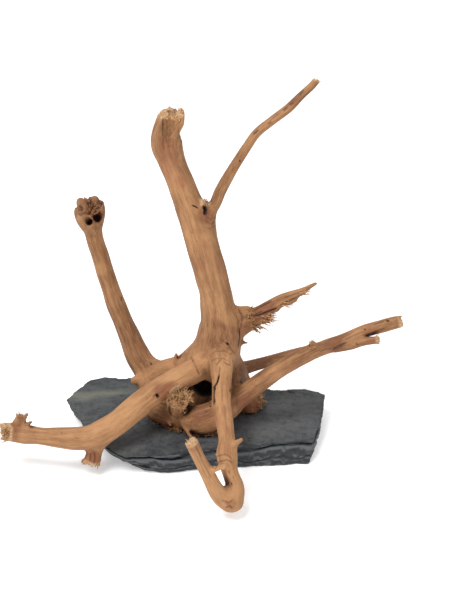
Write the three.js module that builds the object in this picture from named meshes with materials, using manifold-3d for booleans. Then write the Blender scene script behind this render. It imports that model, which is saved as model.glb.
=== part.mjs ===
// A sand-blasted root of driftwood on a slab of slate, as sold for aquariums. Millimetres, +Z up.
// The origin is the middle of the slate's underside, +X is the viewer's right and -Y the front.
// The wood grew as one piece. It is split at its main forks, and a kerf parts each two solids that meet.

import * as THREE from 'three';
import { mergeVertices } from 'three/addons/utils/BufferGeometryUtils.js';
import Module from 'manifold-3d';

const wasm = await Module();
wasm.setup();

// Driving dimensions
const slateThickness = 15;
const woodSeat = slateThickness + 0.2; // the height at which the root is sawn flat
const kerf = 0.3;
const farReach = 400; // longer than the object
const ringStep = 6; // the distance between two rings of a limb
const limbSides = 10;
const twigSides = 7;
const splinterSides = 4;
const twistPerRing = 0.35; // how far the swelling of a limb turns from ring to ring, in radians
const bluntEnd = { width: 0.72, rise: 0.66, tip: 0.9 }; // shares of the radius
const tornEnd = { heart: 0.55, highest: 0.8, spread: 1.1, pith: -0.3, rimShare: 0.4 };
const screw = {
  x: 4,
  y: 10,
  headRadius: 4,
  headDepth: 2.6,
  shankRadius: 2,
  length: 27,
  recess: 1,
  clearance: 0.35,
  slotWidth: 1,
  slotLength: 4.4,
  slotDepth: 1.6,
  rim: 0.4,
  point: 4,
  sides: 20,
};

// Centre lines. A point is [x, y, z, radius of the wood there].
const crownLine = [[13.8, -7, 76, 12.1], [13.2, -7, 66, 13.8], [12.2, -6, 55, 12.8], [8, -3, 45, 11.5]];
const stemLine = [
  [13.8, -7, 76, 11.9], [12.4, -6, 89, 10.3], [8.5, -5, 108, 9.5], [3.5, -3, 127.4, 9.6],
  [-2.6, 0, 146, 8.6], [-7.5, 2, 160, 7.5], [-11, 3, 169.3, 7.3], [-14.3, 4, 178, 8],
  [-16.6, 4, 186, 9.1], [-16.7, 3, 193, 7.8], [-13.4, 1, 201, 7.5],
];
const twigLine = [
  [4.5, -1.5, 122, 5], [6, -1.5, 132, 5.4], [7.2, -1, 141, 4.7], [9, -0.5, 147, 3.9],
  [11.6, 0, 151.5, 3.5], [13.9, 2, 157, 3.5], [17.6, 5, 163.5, 3.3], [24.6, 10, 174, 2.9],
  [30, 13, 181.8, 2.7], [35.4, 16, 188.6, 2.6], [44.4, 20, 194.9, 2.6], [54.1, 23, 201.6, 2.6],
  [61.9, 26, 208.6, 2.5], [67.6, 28, 213.5, 2.4], [69.6, 29, 215.5, 2.1],
];
const leftBackLine = [
  [-17, 2, 20, 9.5], [-25.5, 9, 26, 9], [-31.2, 14, 33, 8.2], [-37.6, 18, 41, 7.6],
  [-43.5, 22, 55, 6.7], [-52.6, 28, 77, 5.9], [-60.6, 32, 104, 5.4], [-64.1, 33, 121, 5.9],
  [-65, 33, 127.5, 8], [-65.2, 33, 133, 9.5],
];
const leftFrontLine = [
  [6.5, -14, 54, 8], [-4.2, -20, 50, 7.4], [-14.8, -25, 46.3, 6.9], [-22.6, -29, 43.2, 6.8],
  [-34.1, -36, 37.2, 7.2], [-44.9, -44, 31.3, 7], [-56.6, -50, 26.4, 7], [-67, -52, 24.3, 6.7],
  [-79, -52, 24.3, 6], [-92.6, -50, 24.4, 5.2], [-101.2, -48, 24.6, 5.8], [-109, -46.5, 25, 5.3],
];
const leftSpurLine = [[-56.5, -49.5, 25, 5.6], [-58.8, -51.5, 18, 4.6], [-60.8, -53.3, 10.6, 4.9]];
const frontLine = [
  [14.6, -12, 62, 9], [14.5, -20, 59, 7.8], [14.8, -28, 55.4, 6.7], [15.2, -38, 51.2, 5.6],
  [15.4, -50, 46.4, 5.4], [17, -64, 40.9, 5], [18.2, -75, 36.2, 4.9], [17.9, -83, 31.6, 6],
  [20.3, -90, 24.5, 4.7], [23.2, -96, 17.4, 5], [22.4, -99, 11, 5.6],
];
const hookLine = [
  [19, -99.5, 12, 5.6], [16.2, -100, 14.2, 5.2], [12.7, -101, 19.5, 4.7], [7.4, -102, 32, 3.8],
  [3.2, -103, 42.3, 3.4], [-0.6, -104, 52.5, 3.5],
];
const brokenLine = [
  [24, -4, 75.5, 8.6], [30.3, -5, 78.2, 6.9], [37.1, -6, 81.9, 5.5], [42.6, -7, 87.2, 4.3],
  [50.2, -8, 92.6, 3.8], [56.8, -9, 96.1, 3.3], [63.1, -9.5, 99.8, 1.9], [70.3, -10, 104.6, 1.1],
];
const bulbLine = [[-4, -28.5, 22.5, 7], [2, -29, 23.7, 8.8], [10, -28, 26.8, 8.7], [19, -26, 31, 7.4]];
const rightLongLine = [
  [19, -26, 31, 7.3], [26, -23.5, 35.5, 6.4], [38, -20, 43.7, 5.6], [50, -17, 51.3, 5.1],
  [61, -14, 57, 5.1], [73.5, -11, 61.4, 4.6], [86, -9, 65.4, 4.4], [101, -6, 71.4, 4.1],
  [110, -4.5, 73.8, 4], [119, -2.5, 75.4, 4], [122.5, -1.5, 75.6, 3.7],
];
const rightStubLine = [
  [84, -9.5, 62.5, 3.4], [93, -11, 65, 3.1], [99.5, -12, 67.2, 2.5], [109, -13.8, 69.4, 2.2],
];
const backRightLine = [
  [16, 5, 36.5, 6.2], [25.9, 14, 34.8, 4.8], [32.4, 19, 34, 4.1], [39.9, 24, 33.5, 3.9],
  [53.5, 32, 33.8, 3.6], [64.6, 38, 34.4, 3.2], [71.5, 41, 34.8, 2.8],
];
const frayedStubLine = [[-12.8, -20, 23, 5.6], [-11.6, -26.5, 31.5, 6], [-10.6, -32.5, 41, 6]];
const leftFootLine = [
  [-27, 6, 23, 8.6], [-27.5, -4, 20, 7.4], [-21, -15, 19.8, 8], [-10, -23, 20.6, 7.8], [-2, -27.5, 22.2, 7.6],
];
const backFootLine = [[8, -2, 46, 10], [5, 6, 30, 9.5], [2, 9, 14, 11.5]];
const heelLine = [[20, -2, 42, 8.4], [20, -14, 37, 8.2], [19, -25, 31.4, 7.6]];
const rightFootLine = [[15, -3, 50, 9], [24, 0, 34, 8], [29, 0, 22, 8], [31, -1, 13, 8.4]];
const shoulderLine = [[4, -5, 54, 10], [-8, 1, 43.4, 7.8], [-19, 6, 37.2, 8.1], [-27, 10, 29, 9]];

// Small broken side growths, fused to the limb that they grow from
const twigForkStub = [[4.2, -3, 146, 3.4], [4.9, -3, 150.5, 2.6], [5.4, -3, 154, 1.7]];
const shoulderBud = [[-13.5, -2, 48.5, 1.8], [-13.2, -2, 53.4, 1.2]];
const leftNub = [[-33, 8, 31, 3.2], [-39.5, 6, 31, 2.6]];
const kneeSpur = [[20, -80, 35.5, 2.4], [26.4, -81, 40.6, 1.2]];
const crossPeg = [[8.5, -102.5, 33.6, 1.8], [18.2, -105, 38.7, 1.2]];
const rootlets = [
  [[-19, -23, 21, 1.2], [-16, -30, 20, 0.9]],
  [[-8, -32, 22.4, 1.3], [-4.6, -38.5, 18.8, 0.9], [-1, -44, 17, 1.5]],
];
const thorn = [[24.5, -7.5, 64, 1.3], [30, -8, 64.5, 0.5]];
const frayedKnot = [[66, -12.5, 59, 3], [70, -12.5, 66.6, 1.2]];
const leftFrontSplinters = [
  [[-106, -47, 26, 3.4], [-103.5, -47.5, 37, 1.8]],
  [[-103, -47.5, 27, 2.6], [-99.6, -48, 38.6, 1.2]],
  [[-102, -48, 29, 1.4], [-96.6, -48.5, 33, 0.4]],
  [[-107, -46.5, 26, 4], [-115, -46, 27.6, 1.8]],
  [[-107, -46.5, 23.5, 3.4], [-114, -46, 22.2, 1.6]],
  [[-60.5, -53.5, 10.5, 2.8], [-67, -54.5, 9.6, 1.3]],
];
const brokenSplinters = [
  [[30, -3, 84.2, 2.4], [24, -5, 85.6, 2]],
  [[35, -8, 80.4, 2.6], [43.9, -10, 81.4, 0.7]],
  [[37, -9, 85, 2.4], [48.3, -10.5, 87.5, 0.7]],
  [[49, -9, 91, 2], [58.8, -10.5, 93.6, 0.7]],
  [[61, -9.5, 98.2, 1.4], [70.1, -10.5, 101, 0.5]],
];

const rimSplinter = [[-8.5, 2, 199, 2.4], [-7.6, 1.5, 207.5, 0.9]];
const knobLobes = [
  [[-68, 31, 131, 3.6], [-70.5, 31, 139, 2.4]],
  [[-63, 36, 131, 4], [-62.5, 36, 138.5, 2.6]],
];

// Hollows. The scoop runs down the broken top of the stem, and the pockets rotted into the left knob.
const scoop = [
  [-10.4, -5.2, 212, 6], [-11.4, -5.2, 203, 5.4], [-12.6, -5.2, 195, 4.2], [-12, -6, 187, 2.6], [-10, -7, 180, 1],
];
const knobPockets = [
  [[-59, 24, 134.5, 3.4], [-62, 31, 129, 2]],
  [[-66, 22.5, 131.5, 2.4], [-65, 30, 127, 1.6]],
  [[-70.5, 29, 140, 2.8], [-68, 33, 131, 1.8]],
];

// The slate's outline at its top and at its foot, counter-clockwise from the left tip
const slateTop = [
  [-82.6, 11], [-79.5, 0], [-74.5, -7], [-70, -21], [-60, -38], [-51, -49], [-43, -56], [-34.5, -54.5],
  [-22, -54], [-9.6, -52.5], [10.4, -46.8], [25.8, -42.5], [49.7, -39], [70, -35.4], [74, -20],
  [77, 0], [79.6, 18.5], [68, 24.5], [53.5, 24.5], [40, 26], [18, 32], [-8, 37], [-30, 41],
  [-45, 40.4], [-63, 40.4], [-71, 37.4], [-78, 25],
];
const slateFoot = [
  [-78, 12], [-74, 5], [-68, -6], [-62, -17], [-53, -31], [-43.5, -40], [-37, -45], [-30.5, -50],
  [-21, -53], [-8, -51], [10.5, -48.5], [26, -47], [49.5, -44.8], [67.5, -43], [72.5, -20],
  [75.5, -2], [78, 16], [67, 22], [53, 22], [40, 23.5], [18, 29], [-8, 34], [-30, 38],
  [-45, 38], [-61, 38], [-69, 35], [-75, 24],
];
const slateLayers = [
  // from, to: heights; low and high: how far in from the outline each edge of the layer stands
  { from: 0, to: 6.2, low: 0, high: -0.6, roughness: 1 },
  { from: 5.8, to: 10.4, low: 1.2, high: -0.2, roughness: 1.4 },
  { from: 10, to: 11.8, low: 2.6, high: 2.6, roughness: 0.8 },
  { from: 11.2, to: slateThickness, low: 0.4, high: -0.5, roughness: 1 },
];
const outlineStep = 7;

// A repeatable random number from 0 to 1
function chance(index, seed) {
  const wave = Math.sin(index * 12.9898 + seed * 78.233) * 43758.5453;
  return wave - Math.floor(wave);
}

// The radius at a place along a centre line, eased between its points
function radiusAt(line, place) {
  const segment = Math.min(Math.floor(place), line.length - 2);
  const share = THREE.MathUtils.smoothstep(place - segment, 0, 1);
  return THREE.MathUtils.lerp(line[segment][3], line[segment + 1][3], share);
}

// Rings of centre, radius and directions across along a centre line
function stationsAlong(line, step) {
  const curve = new THREE.CatmullRomCurve3(
    line.map(([x, y, z]) => new THREE.Vector3(x, y, z)),
    false,
    'centripetal',
  );
  const places = [0];
  for (let segment = 0; segment < line.length - 1; segment++) {
    const from = new THREE.Vector3(...line[segment]);
    const to = new THREE.Vector3(...line[segment + 1]);
    const parts = Math.max(1, Math.round(from.distanceTo(to) / step));
    for (let part = 1; part <= parts; part++) places.push(segment + part / parts);
  }
  let side = new THREE.Vector3(0, 1, 0);
  return places.map((place) => {
    const t = place / (line.length - 1);
    const along = curve.getTangent(t);
    side = side.clone().addScaledVector(along, -side.dot(along)).normalize();
    const across = new THREE.Vector3().crossVectors(along, side);
    return { centre: curve.getPoint(t), radius: radiusAt(line, place), along, side: side.clone(), across };
  });
}

// A closed limb along a centre line. torn raises splinters round its far end, and blunt rounds it off.
function limbGeometry(line, style = {}) {
  const { sides = limbSides, step = ringStep, lobes = 3, lobing = 0.05 } = style;
  const { torn = 0, blunt = false, seed = 1, grown = 0 } = style;
  const fullness = (1 + 1 / Math.cos(Math.PI / sides)) / 2; // so that the flat sides average the radius
  const stations = stationsAlong(line, step);
  const positions = [];
  const indices = [];
  const addPoint = (station, angle, radius, rise) => {
    const point = station.centre.clone()
      .addScaledVector(station.side, Math.cos(angle) * radius)
      .addScaledVector(station.across, Math.sin(angle) * radius)
      .addScaledVector(station.along, rise);
    positions.push(point.x, point.y, point.z);
    return positions.length / 3 - 1;
  };
  const addRing = (station, share, twist, rises) => {
    const ring = [];
    for (let corner = 0; corner < sides; corner++) {
      const angle = (corner / sides) * Math.PI * 2;
      const swell = fullness + lobing * Math.cos(lobes * angle + seed + twist);
      ring.push(addPoint(station, angle, (station.radius * swell + grown) * share, rises(corner)));
    }
    return ring;
  };
  const joinRings = (low, high) => {
    for (let corner = 0; corner < sides; corner++) {
      const next = (corner + 1) % sides;
      indices.push(low[corner], low[next], high[next], low[corner], high[next], high[corner]);
    }
  };
  const closeRing = (ring, middle, isStart) => {
    for (let corner = 0; corner < sides; corner++) {
      const next = (corner + 1) % sides;
      if (isStart) indices.push(middle, ring[next], ring[corner]);
      else indices.push(middle, ring[corner], ring[next]);
    }
  };
  const last = stations[stations.length - 1];
  const rings = stations.map((station, number) => {
    const rimRise = (corner) => grown + torn * (chance(corner, seed) - tornEnd.rimShare);
    return addRing(station, 1, number * twistPerRing, station === last ? rimRise : () => 0);
  });
  for (let number = 1; number < rings.length; number++) joinRings(rings[number - 1], rings[number]);
  closeRing(rings[0], addPoint(stations[0], 0, 0, -grown), true);
  const endRing = rings[rings.length - 1];
  const endTwist = rings.length * twistPerRing;
  if (torn) {
    const heartRise = (corner) => torn * (tornEnd.highest - tornEnd.spread * chance(corner, seed + 7));
    const heart = addRing(last, tornEnd.heart, endTwist, heartRise);
    joinRings(endRing, heart);
    closeRing(heart, addPoint(last, 0, 0, tornEnd.pith * torn), false);
  } else if (blunt) {
    const dome = addRing(last, bluntEnd.width, endTwist, () => grown + last.radius * bluntEnd.rise);
    joinRings(endRing, dome);
    closeRing(dome, addPoint(last, 0, 0, grown + last.radius * bluntEnd.tip), false);
  } else {
    closeRing(endRing, addPoint(last, 0, 0, grown), false);
  }
  const geometry = new THREE.BufferGeometry();
  geometry.setAttribute('position', new THREE.Float32BufferAttribute(positions, 3));
  geometry.setIndex(indices);
  return geometry;
}

function toSolid(geometry) {
  const plain = geometry.clone();
  plain.deleteAttribute('normal');
  plain.deleteAttribute('uv');
  const merged = mergeVertices(plain, 1e-4);
  return new wasm.Manifold(new wasm.Mesh({
    numProp: 3,
    vertProperties: new Float32Array(merged.attributes.position.array),
    triVerts: new Uint32Array(merged.index.array),
  }));
}

function toGeometry(solid) {
  const mesh = solid.getMesh();
  const geometry = new THREE.BufferGeometry();
  geometry.setAttribute('position', new THREE.BufferAttribute(mesh.vertProperties.slice(), 3));
  geometry.setIndex(new THREE.BufferAttribute(mesh.triVerts.slice(), 1));
  geometry.computeVertexNormals();
  return geometry;
}

function fuse(geometries) {
  return geometries.map(toSolid).reduce((whole, piece) => whole.add(piece));
}

// The largest body of a solid, without the crumbs that a cut leaves
function mainBody(solid) {
  const bodies = solid.decompose();
  return bodies.reduce((best, body) => (body.volume() > best.volume() ? body : best));
}

// Points along an outline, the same share of each side between corners for every outline
function pointsAlong(outline) {
  const corner = (corners, number) => new THREE.Vector2(...corners[number % corners.length]);
  return outline.flatMap((_, number) => {
    const side = corner(slateTop, number).distanceTo(corner(slateTop, number + 1));
    const parts = Math.max(1, Math.round(side / outlineStep));
    return Array.from({ length: parts }, (__, part) => corner(outline, number)
      .lerp(corner(outline, number + 1), part / parts));
  });
}

// The slate: cleft layers from its foot to its top, each with its own ragged edge
function slateSolid() {
  const top = pointsAlong(slateTop);
  const foot = pointsAlong(slateFoot);
  const inwards = top.map((point, number) => {
    const before = top[(number + top.length - 1) % top.length];
    const after = top[(number + 1) % top.length];
    return new THREE.Vector2(before.y - after.y, after.x - before.x).normalize();
  });
  const layers = slateLayers.map(({ from, to, low, high, roughness }, seed) => {
    const ringAt = (height, inset) => top.map((point, number) => {
      const standIn = inset + roughness * (chance(number, seed + 3) - 0.5);
      const place = foot[number].clone()
        .lerp(point, height / slateThickness)
        .addScaledVector(inwards[number], standIn);
      return new THREE.Vector3(place.x, place.y, height);
    });
    return layerGeometry(ringAt(from, low), ringAt(to, high));
  });
  return fuse(layers);
}

// One closed layer between a low and a high ring of points
function layerGeometry(low, high) {
  const flat = high.map(({ x, y }) => new THREE.Vector2(x, y));
  const caps = THREE.ShapeUtils.triangulateShape(flat, []);
  const count = low.length;
  const indices = [];
  caps.forEach(([a, b, c]) => indices.push(a, c, b, a + count, b + count, c + count));
  for (let number = 0; number < count; number++) {
    const next = (number + 1) % count;
    indices.push(number, next, next + count, number, next + count, number + count);
  }
  const geometry = new THREE.BufferGeometry();
  geometry.setFromPoints([...low, ...high]);
  geometry.setIndex(indices);
  return geometry;
}

// The countersunk screw that holds the root from below, head down. grown gives the hole that takes it.
function screwGeometry(grown = 0) {
  const { headRadius, headDepth, shankRadius, length, recess, rim, point, sides } = screw;
  const foot = grown ? -1 : recess;
  const top = recess + length + grown;
  const profile = [
    [0, foot], [headRadius + grown, foot], [headRadius + grown, recess + rim],
    [shankRadius + grown, recess + headDepth], [shankRadius + grown, top - point], [grown, top], [0, top],
  ].map(([radius, height]) => new THREE.Vector2(radius, height));
  if (!grown) profile.pop();
  return new THREE.LatheGeometry(profile, sides).rotateX(Math.PI / 2).translate(screw.x, screw.y, 0);
}

function screwSolid() {
  const { slotWidth, slotLength, slotDepth, recess } = screw;
  const slots = [0, Math.PI / 2].map((turn) => new THREE.BoxGeometry(slotLength, slotWidth, slotDepth * 2)
    .rotateZ(turn)
    .translate(screw.x, screw.y, recess));
  return toSolid(screwGeometry()).subtract(fuse(slots));
}

// Everything below the sawn foot of the root
function belowSeat() {
  return toSolid(new THREE.BoxGeometry(farReach, farReach, farReach).translate(0, 0, woodSeat - farReach / 2));
}

const splinter = { sides: splinterSides, step: 60, lobing: 0 };
const rootlet = { sides: 5, lobing: 0 };

// Each wooden piece: the lines it is fused from, and the pieces that it keeps a kerf from
const limbs = {
  root_stock: {
    pieces: [
      { line: crownLine, lobing: 0.03, seed: 1 },
      { line: leftFootLine, lobing: 0.06, seed: 2 },
      { line: backFootLine, lobing: 0.05, seed: 3 },
      { line: rightFootLine, lobing: 0.08, seed: 4 },
      { line: heelLine, lobing: 0.05, seed: 7 },
      { line: shoulderLine, lobing: 0.04, seed: 5 },
      { line: bulbLine, lobing: 0.04, seed: 6 },
      { line: shoulderBud, sides: twigSides, seed: 8 },
      ...rootlets.map((line) => ({ line, ...rootlet })),
      { line: thorn, ...rootlet },
    ],
    keepsFrom: [],
    standsOnSlate: true,
  },
  main_stem: {
    pieces: [
      { line: stemLine, lobing: 0.03, torn: 3, seed: 11 },
      { line: twigForkStub, sides: twigSides, torn: 1.6, seed: 12 },
      { line: rimSplinter, ...splinter },
    ],
    keepsFrom: ['root_stock'],
    hollows: [scoop],
  },
  upper_twig: {
    pieces: [{ line: twigLine, sides: twigSides, torn: 1.6, seed: 71 }],
    keepsFrom: ['main_stem'],
  },
  front_limb: {
    pieces: [
      { line: frontLine, lobing: 0.05, blunt: true, seed: 21 },
      { line: kneeSpur, ...rootlet },
    ],
    keepsFrom: ['root_stock', 'main_stem'],
  },
  front_hook: {
    pieces: [
      { line: hookLine, lobing: 0.05, torn: 1.5, seed: 81 },
      { line: crossPeg, ...rootlet },
    ],
    keepsFrom: ['front_limb'],
  },
  left_back_limb: {
    pieces: [
      { line: leftBackLine, lobing: 0.05, torn: 6, seed: 31 },
      ...knobLobes.map((line) => ({ line, ...rootlet })),
      { line: leftNub, sides: twigSides, torn: 1.4, seed: 32 },
    ],
    keepsFrom: ['root_stock'],
    hollows: knobPockets,
    standsOnSlate: true,
  },
  left_front_limb: {
    pieces: [
      { line: leftFrontLine, lobing: 0.05, torn: 4, seed: 41 },
      { line: leftSpurLine, torn: 4, seed: 42 },
      ...leftFrontSplinters.map((line) => ({ line, ...splinter })),
    ],
    keepsFrom: ['root_stock', 'front_limb', 'left_back_limb'],
  },
  broken_side_limb: {
    pieces: [
      { line: brokenLine, lobing: 0.1, torn: 2, seed: 51 },
      ...brokenSplinters.map((line) => ({ line, ...splinter })),
    ],
    keepsFrom: ['root_stock', 'main_stem'],
  },
  right_long_limb: {
    pieces: [
      { line: rightLongLine, lobing: 0.05, torn: 3, seed: 61 },
      { line: rightStubLine, sides: twigSides, lobing: 0.08, torn: 2.5, seed: 62 },
      { line: frayedKnot, ...rootlet },
    ],
    keepsFrom: ['root_stock', 'front_limb'],
  },
  back_right_limb: {
    pieces: [{ line: backRightLine, sides: 8, torn: 2.5, seed: 91 }],
    keepsFrom: ['root_stock', 'right_long_limb'],
  },
  frayed_stub: {
    pieces: [{ line: frayedStubLine, torn: 5, seed: 95 }],
    keepsFrom: ['root_stock', 'left_back_limb', 'left_front_limb'],
    standsOnSlate: true,
  },
};

function limbSolid(name, grown) {
  return fuse(limbs[name].pieces.map(({ line, ...style }) => limbGeometry(line, { ...style, grown })));
}

// A wooden piece, cut clear of its neighbours, of the slate below and of the screw
function woodSolid(name) {
  const { keepsFrom, hollows = [], standsOnSlate = false } = limbs[name];
  const cutters = [
    ...keepsFrom.map((other) => limbSolid(other, kerf)),
    ...hollows.map((line) => toSolid(limbGeometry(line, { sides: 8, lobing: 0, step: 4 }))),
  ];
  if (standsOnSlate) cutters.push(belowSeat(), toSolid(screwGeometry(screw.clearance)));
  return mainBody(cutters.reduce((solid, cutter) => solid.subtract(cutter), limbSolid(name, 0)));
}

const looks = {
  wood: new THREE.MeshStandardMaterial({ color: 0xac8462, roughness: 0.75, metalness: 0 }),
  slate: new THREE.MeshStandardMaterial({ color: 0x54524f, roughness: 0.6, metalness: 0 }),
  steel: new THREE.MeshStandardMaterial({ color: 0xb8bbbd, roughness: 0.35, metalness: 1 }),
};

function namedMesh(name, solid, look) {
  const mesh = new THREE.Mesh(toGeometry(solid), looks[look].clone());
  mesh.name = name;
  return mesh;
}

// Assembly
const driftwood = new THREE.Group();
const slate = slateSolid().subtract(toSolid(screwGeometry(screw.clearance)));
driftwood.add(namedMesh('slate_base', slate, 'slate'));
driftwood.add(namedMesh('fixing_screw', screwSolid(), 'steel'));
Object.keys(limbs).forEach((name) => driftwood.add(namedMesh(name, woodSolid(name), 'wood')));

export default driftwood;
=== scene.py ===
# %% [markdown]
# # A branch of root driftwood on a slab of slate
# The object is a peeled, sand-blasted root that stands on a rough slab of slate, as sold for aquariums.
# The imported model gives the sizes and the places. This script dresses it: one skin for the whole root,
# tufts of torn fibre at its broken ends, and a cleft stone with chipped edges.
# Lengths are in millimetres until a mesh is made, and metres from then on.

# %% Load the frame
import itertools
import math

import bmesh
import bpy
import numpy as np
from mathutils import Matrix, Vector


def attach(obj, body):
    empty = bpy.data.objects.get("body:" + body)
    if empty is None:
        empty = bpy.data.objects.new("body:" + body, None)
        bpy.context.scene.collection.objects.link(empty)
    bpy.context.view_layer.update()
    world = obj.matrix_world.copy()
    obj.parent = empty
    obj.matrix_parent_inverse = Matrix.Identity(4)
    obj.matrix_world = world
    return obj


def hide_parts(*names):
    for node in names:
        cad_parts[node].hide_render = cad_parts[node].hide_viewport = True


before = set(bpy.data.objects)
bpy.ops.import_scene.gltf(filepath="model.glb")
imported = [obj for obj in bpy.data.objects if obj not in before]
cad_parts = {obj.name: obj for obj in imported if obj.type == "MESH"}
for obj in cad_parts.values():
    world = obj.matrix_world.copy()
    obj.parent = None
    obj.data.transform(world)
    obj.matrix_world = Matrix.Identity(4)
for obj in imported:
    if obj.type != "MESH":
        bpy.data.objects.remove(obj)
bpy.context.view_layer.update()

MM = 0.001
BODY = "root"

# %% [markdown]
# ## The camera
# The photograph looks down at the object from about 25 degrees, from 0.8 m away. A camera could be placed
# by eye, but here the pixel of a known point has to be worked out too, because cracks and scars are placed
# by where they are seen. So the numbers are kept, and one function turns points into pixels.

# %% The photograph's camera
CAMERA_AT = np.array((22.8, -725.05, 428.59))
LOOKING_DOWN = math.radians(25)
FOCAL_PIXELS = 1333.3
PICTURE = (470, 596)
SENSOR = 36.0

camera = bpy.data.objects.new("photo_camera", bpy.data.cameras.new("photo_camera"))
camera.data.sensor_width = SENSOR
camera.data.lens = FOCAL_PIXELS * SENSOR / PICTURE[1]
camera.data.clip_start = 0.01
camera.location = Vector(CAMERA_AT) * MM
camera.rotation_euler = (math.pi / 2 - LOOKING_DOWN, 0, 0)
bpy.context.scene.collection.objects.link(camera)
bpy.context.scene.camera = camera


def seen_at(points):
    """The pixel of each point in the photograph, and how far from the camera it is."""
    away = points - CAMERA_AT
    depth = away[:, 1] * math.cos(LOOKING_DOWN) - away[:, 2] * math.sin(LOOKING_DOWN)
    rise = away[:, 1] * math.sin(LOOKING_DOWN) + away[:, 2] * math.cos(LOOKING_DOWN)
    across = PICTURE[0] / 2 + FOCAL_PIXELS * away[:, 0] / depth
    down = PICTURE[1] / 2 - FOCAL_PIXELS * rise / depth
    return np.stack((across, down), 1), depth


print("camera lens %.1f mm" % camera.data.lens)

# %% [markdown]
# ## Colours and nodes
# Every colour is given as the sRGB hex value that one would pick from a photograph. Blender works in
# linear light, so one function converts them. One more adds a shader or geometry node with its settings
# and its links, which keeps the long materials readable.

# %% Helpers for colours and nodes


def colour(code):
    """Linear RGBA from an sRGB hex value such as C49A6C."""
    parts = [int(code[i : i + 2], 16) / 255 for i in (0, 2, 4)]
    return [p / 12.92 if p <= 0.04045 else ((p + 0.055) / 1.055) ** 2.4 for p in parts] + [1.0]


def put(tree, kind, inputs=None, **settings):
    """Adds a node of this kind. inputs holds a value, or another node's output, for each named input."""
    node = tree.nodes.new(kind)
    for name, value in settings.items():
        setattr(node, name, value)
    for name, value in (inputs or {}).items():
        if isinstance(value, bpy.types.NodeSocket):
            tree.links.new(value, node.inputs[name])
        else:
            node.inputs[name].default_value = value
    return node


def blank_material(name):
    """A new material: its node tree, its main shader and itself."""
    material = bpy.data.materials.new(name)
    material.use_nodes = True
    return material, material.node_tree, material.node_tree.nodes["Principled BSDF"]


# %% [markdown]
# ## Floor and light
# The photograph has a plain white ground and a soft light from the upper left. A big pale floor under a
# white sky gives the same ground. A wide lamp at the left and a weaker one at the right model the
# wood, and their size keeps every shadow soft.

# %% The floor, the sky and the lamps
FLOOR_HALF = 3.0
LAMPS = (  # name, place in metres, size in metres, watts
    ("key", (-0.45, -0.6, 1.45), 0.7, 22.0),
    ("fill", (0.9, -0.9, 0.9), 1.2, 3.0),
    ("back", (0.3, 1.0, 1.3), 1.0, 5.0),
)
SKY_STRENGTH = 0.42
FLOOR_GLOW = 0.36  # keeps the shadows on the floor as pale as the photograph's

floor_mesh = bpy.data.meshes.new("studio_floor")
floor_corners = [(x * FLOOR_HALF, y * FLOOR_HALF, 0) for x, y in ((-1, -1), (1, -1), (1, 1), (-1, 1))]
floor_mesh.from_pydata(floor_corners, [], [(0, 1, 2, 3)])
studio_floor = bpy.data.objects.new("studio_floor", floor_mesh)
bpy.context.scene.collection.objects.link(studio_floor)
floor_paint, _, floor_shader = blank_material("matt_white_floor")
floor_shader.inputs["Base Color"].default_value = colour("F6F6F6")
floor_shader.inputs["Roughness"].default_value = 0.9
floor_shader.inputs["Emission Color"].default_value = colour("FFFFFF")
floor_shader.inputs["Emission Strength"].default_value = FLOOR_GLOW
floor_mesh.materials.append(floor_paint)

for lamp_name, place, size, watts in LAMPS:
    lamp = bpy.data.lights.new(lamp_name, "AREA")
    lamp.size = size
    lamp.energy = watts
    lamp_object = bpy.data.objects.new(lamp_name, lamp)
    lamp_object.location = place
    lamp_object.rotation_euler = (Vector((0, 0, 0.08)) - Vector(place)).to_track_quat("-Z", "Y").to_euler()
    bpy.context.scene.collection.objects.link(lamp_object)

sky = bpy.data.worlds.new("white_sky")
sky.use_nodes = True
sky.node_tree.nodes["Background"].inputs["Color"].default_value = (1, 1, 1, 1)
sky.node_tree.nodes["Background"].inputs["Strength"].default_value = SKY_STRENGTH
bpy.context.scene.world = sky
bpy.context.scene.view_settings.view_transform = "Standard"
print("floor, sky and", len(LAMPS), "lamps")

# %% [markdown]
# ## Numbers that look random
# Wood and stone are irregular at every size. A noise that is worked out from the place alone gives the
# same unevenness on every run, so nothing here depends on a random state.

# %% A repeatable noise
MASK = 0xFFFFFFFF


def lattice(cell, seed):
    """A number from -1 to 1 for each whole-numbered place."""
    mixed = (cell[..., 0] * 73856093) ^ (cell[..., 1] * 19349663) ^ (cell[..., 2] * 83492791)
    mixed = (mixed ^ (seed * 40503 + 977)) & MASK
    mixed = ((mixed ^ (mixed >> 15)) * 2246822519) & MASK
    mixed = ((mixed ^ (mixed >> 13)) * 3266489917) & MASK
    return ((mixed ^ (mixed >> 16)) & 0xFFFF) / 32767.5 - 1


def noise(places, seed=0, octaves=1):
    """Smooth noise from about -1 to 1. Each octave is half as wide and half as strong as the one before."""
    total, strength = 0.0, 1.0
    for octave in range(octaves):
        at = np.asarray(places, float) * 2**octave + 31.7 * octave
        cell = np.floor(at).astype(np.int64)
        part = at - cell
        part = part * part * (3 - 2 * part)
        for corner in itertools.product((0, 1), repeat=3):  # the eight corners of the cell
            share = np.prod(np.where(corner, part, 1 - part), axis=-1)
            total = total + strength * share * lattice(cell + corner, seed + octave)
        strength /= 2
    return total


def ramp(value, low, high):
    """0 below low, 1 above high, and smooth between."""
    share = np.clip((value - low) / (high - low), 0, 1)
    return share * share * (3 - 2 * share)


# %% [markdown]
# ## The limbs
# The root is a set of limbs that flow into one another. Each is a line of points with the wood's radius at
# each point. The main lines are those of the CAD source, and small tips and splinters are added. Boxes or
# tubes joined by booleans would show hard seams where limbs meet. A distance field has none: every limb
# says how far a place is from its skin, and the nearest two are blended, which makes the soft webs that a
# real fork has.
# Of the two numbers after the points, `web` is the width of that blend, and `tone` runs from dark to pale wood.

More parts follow.
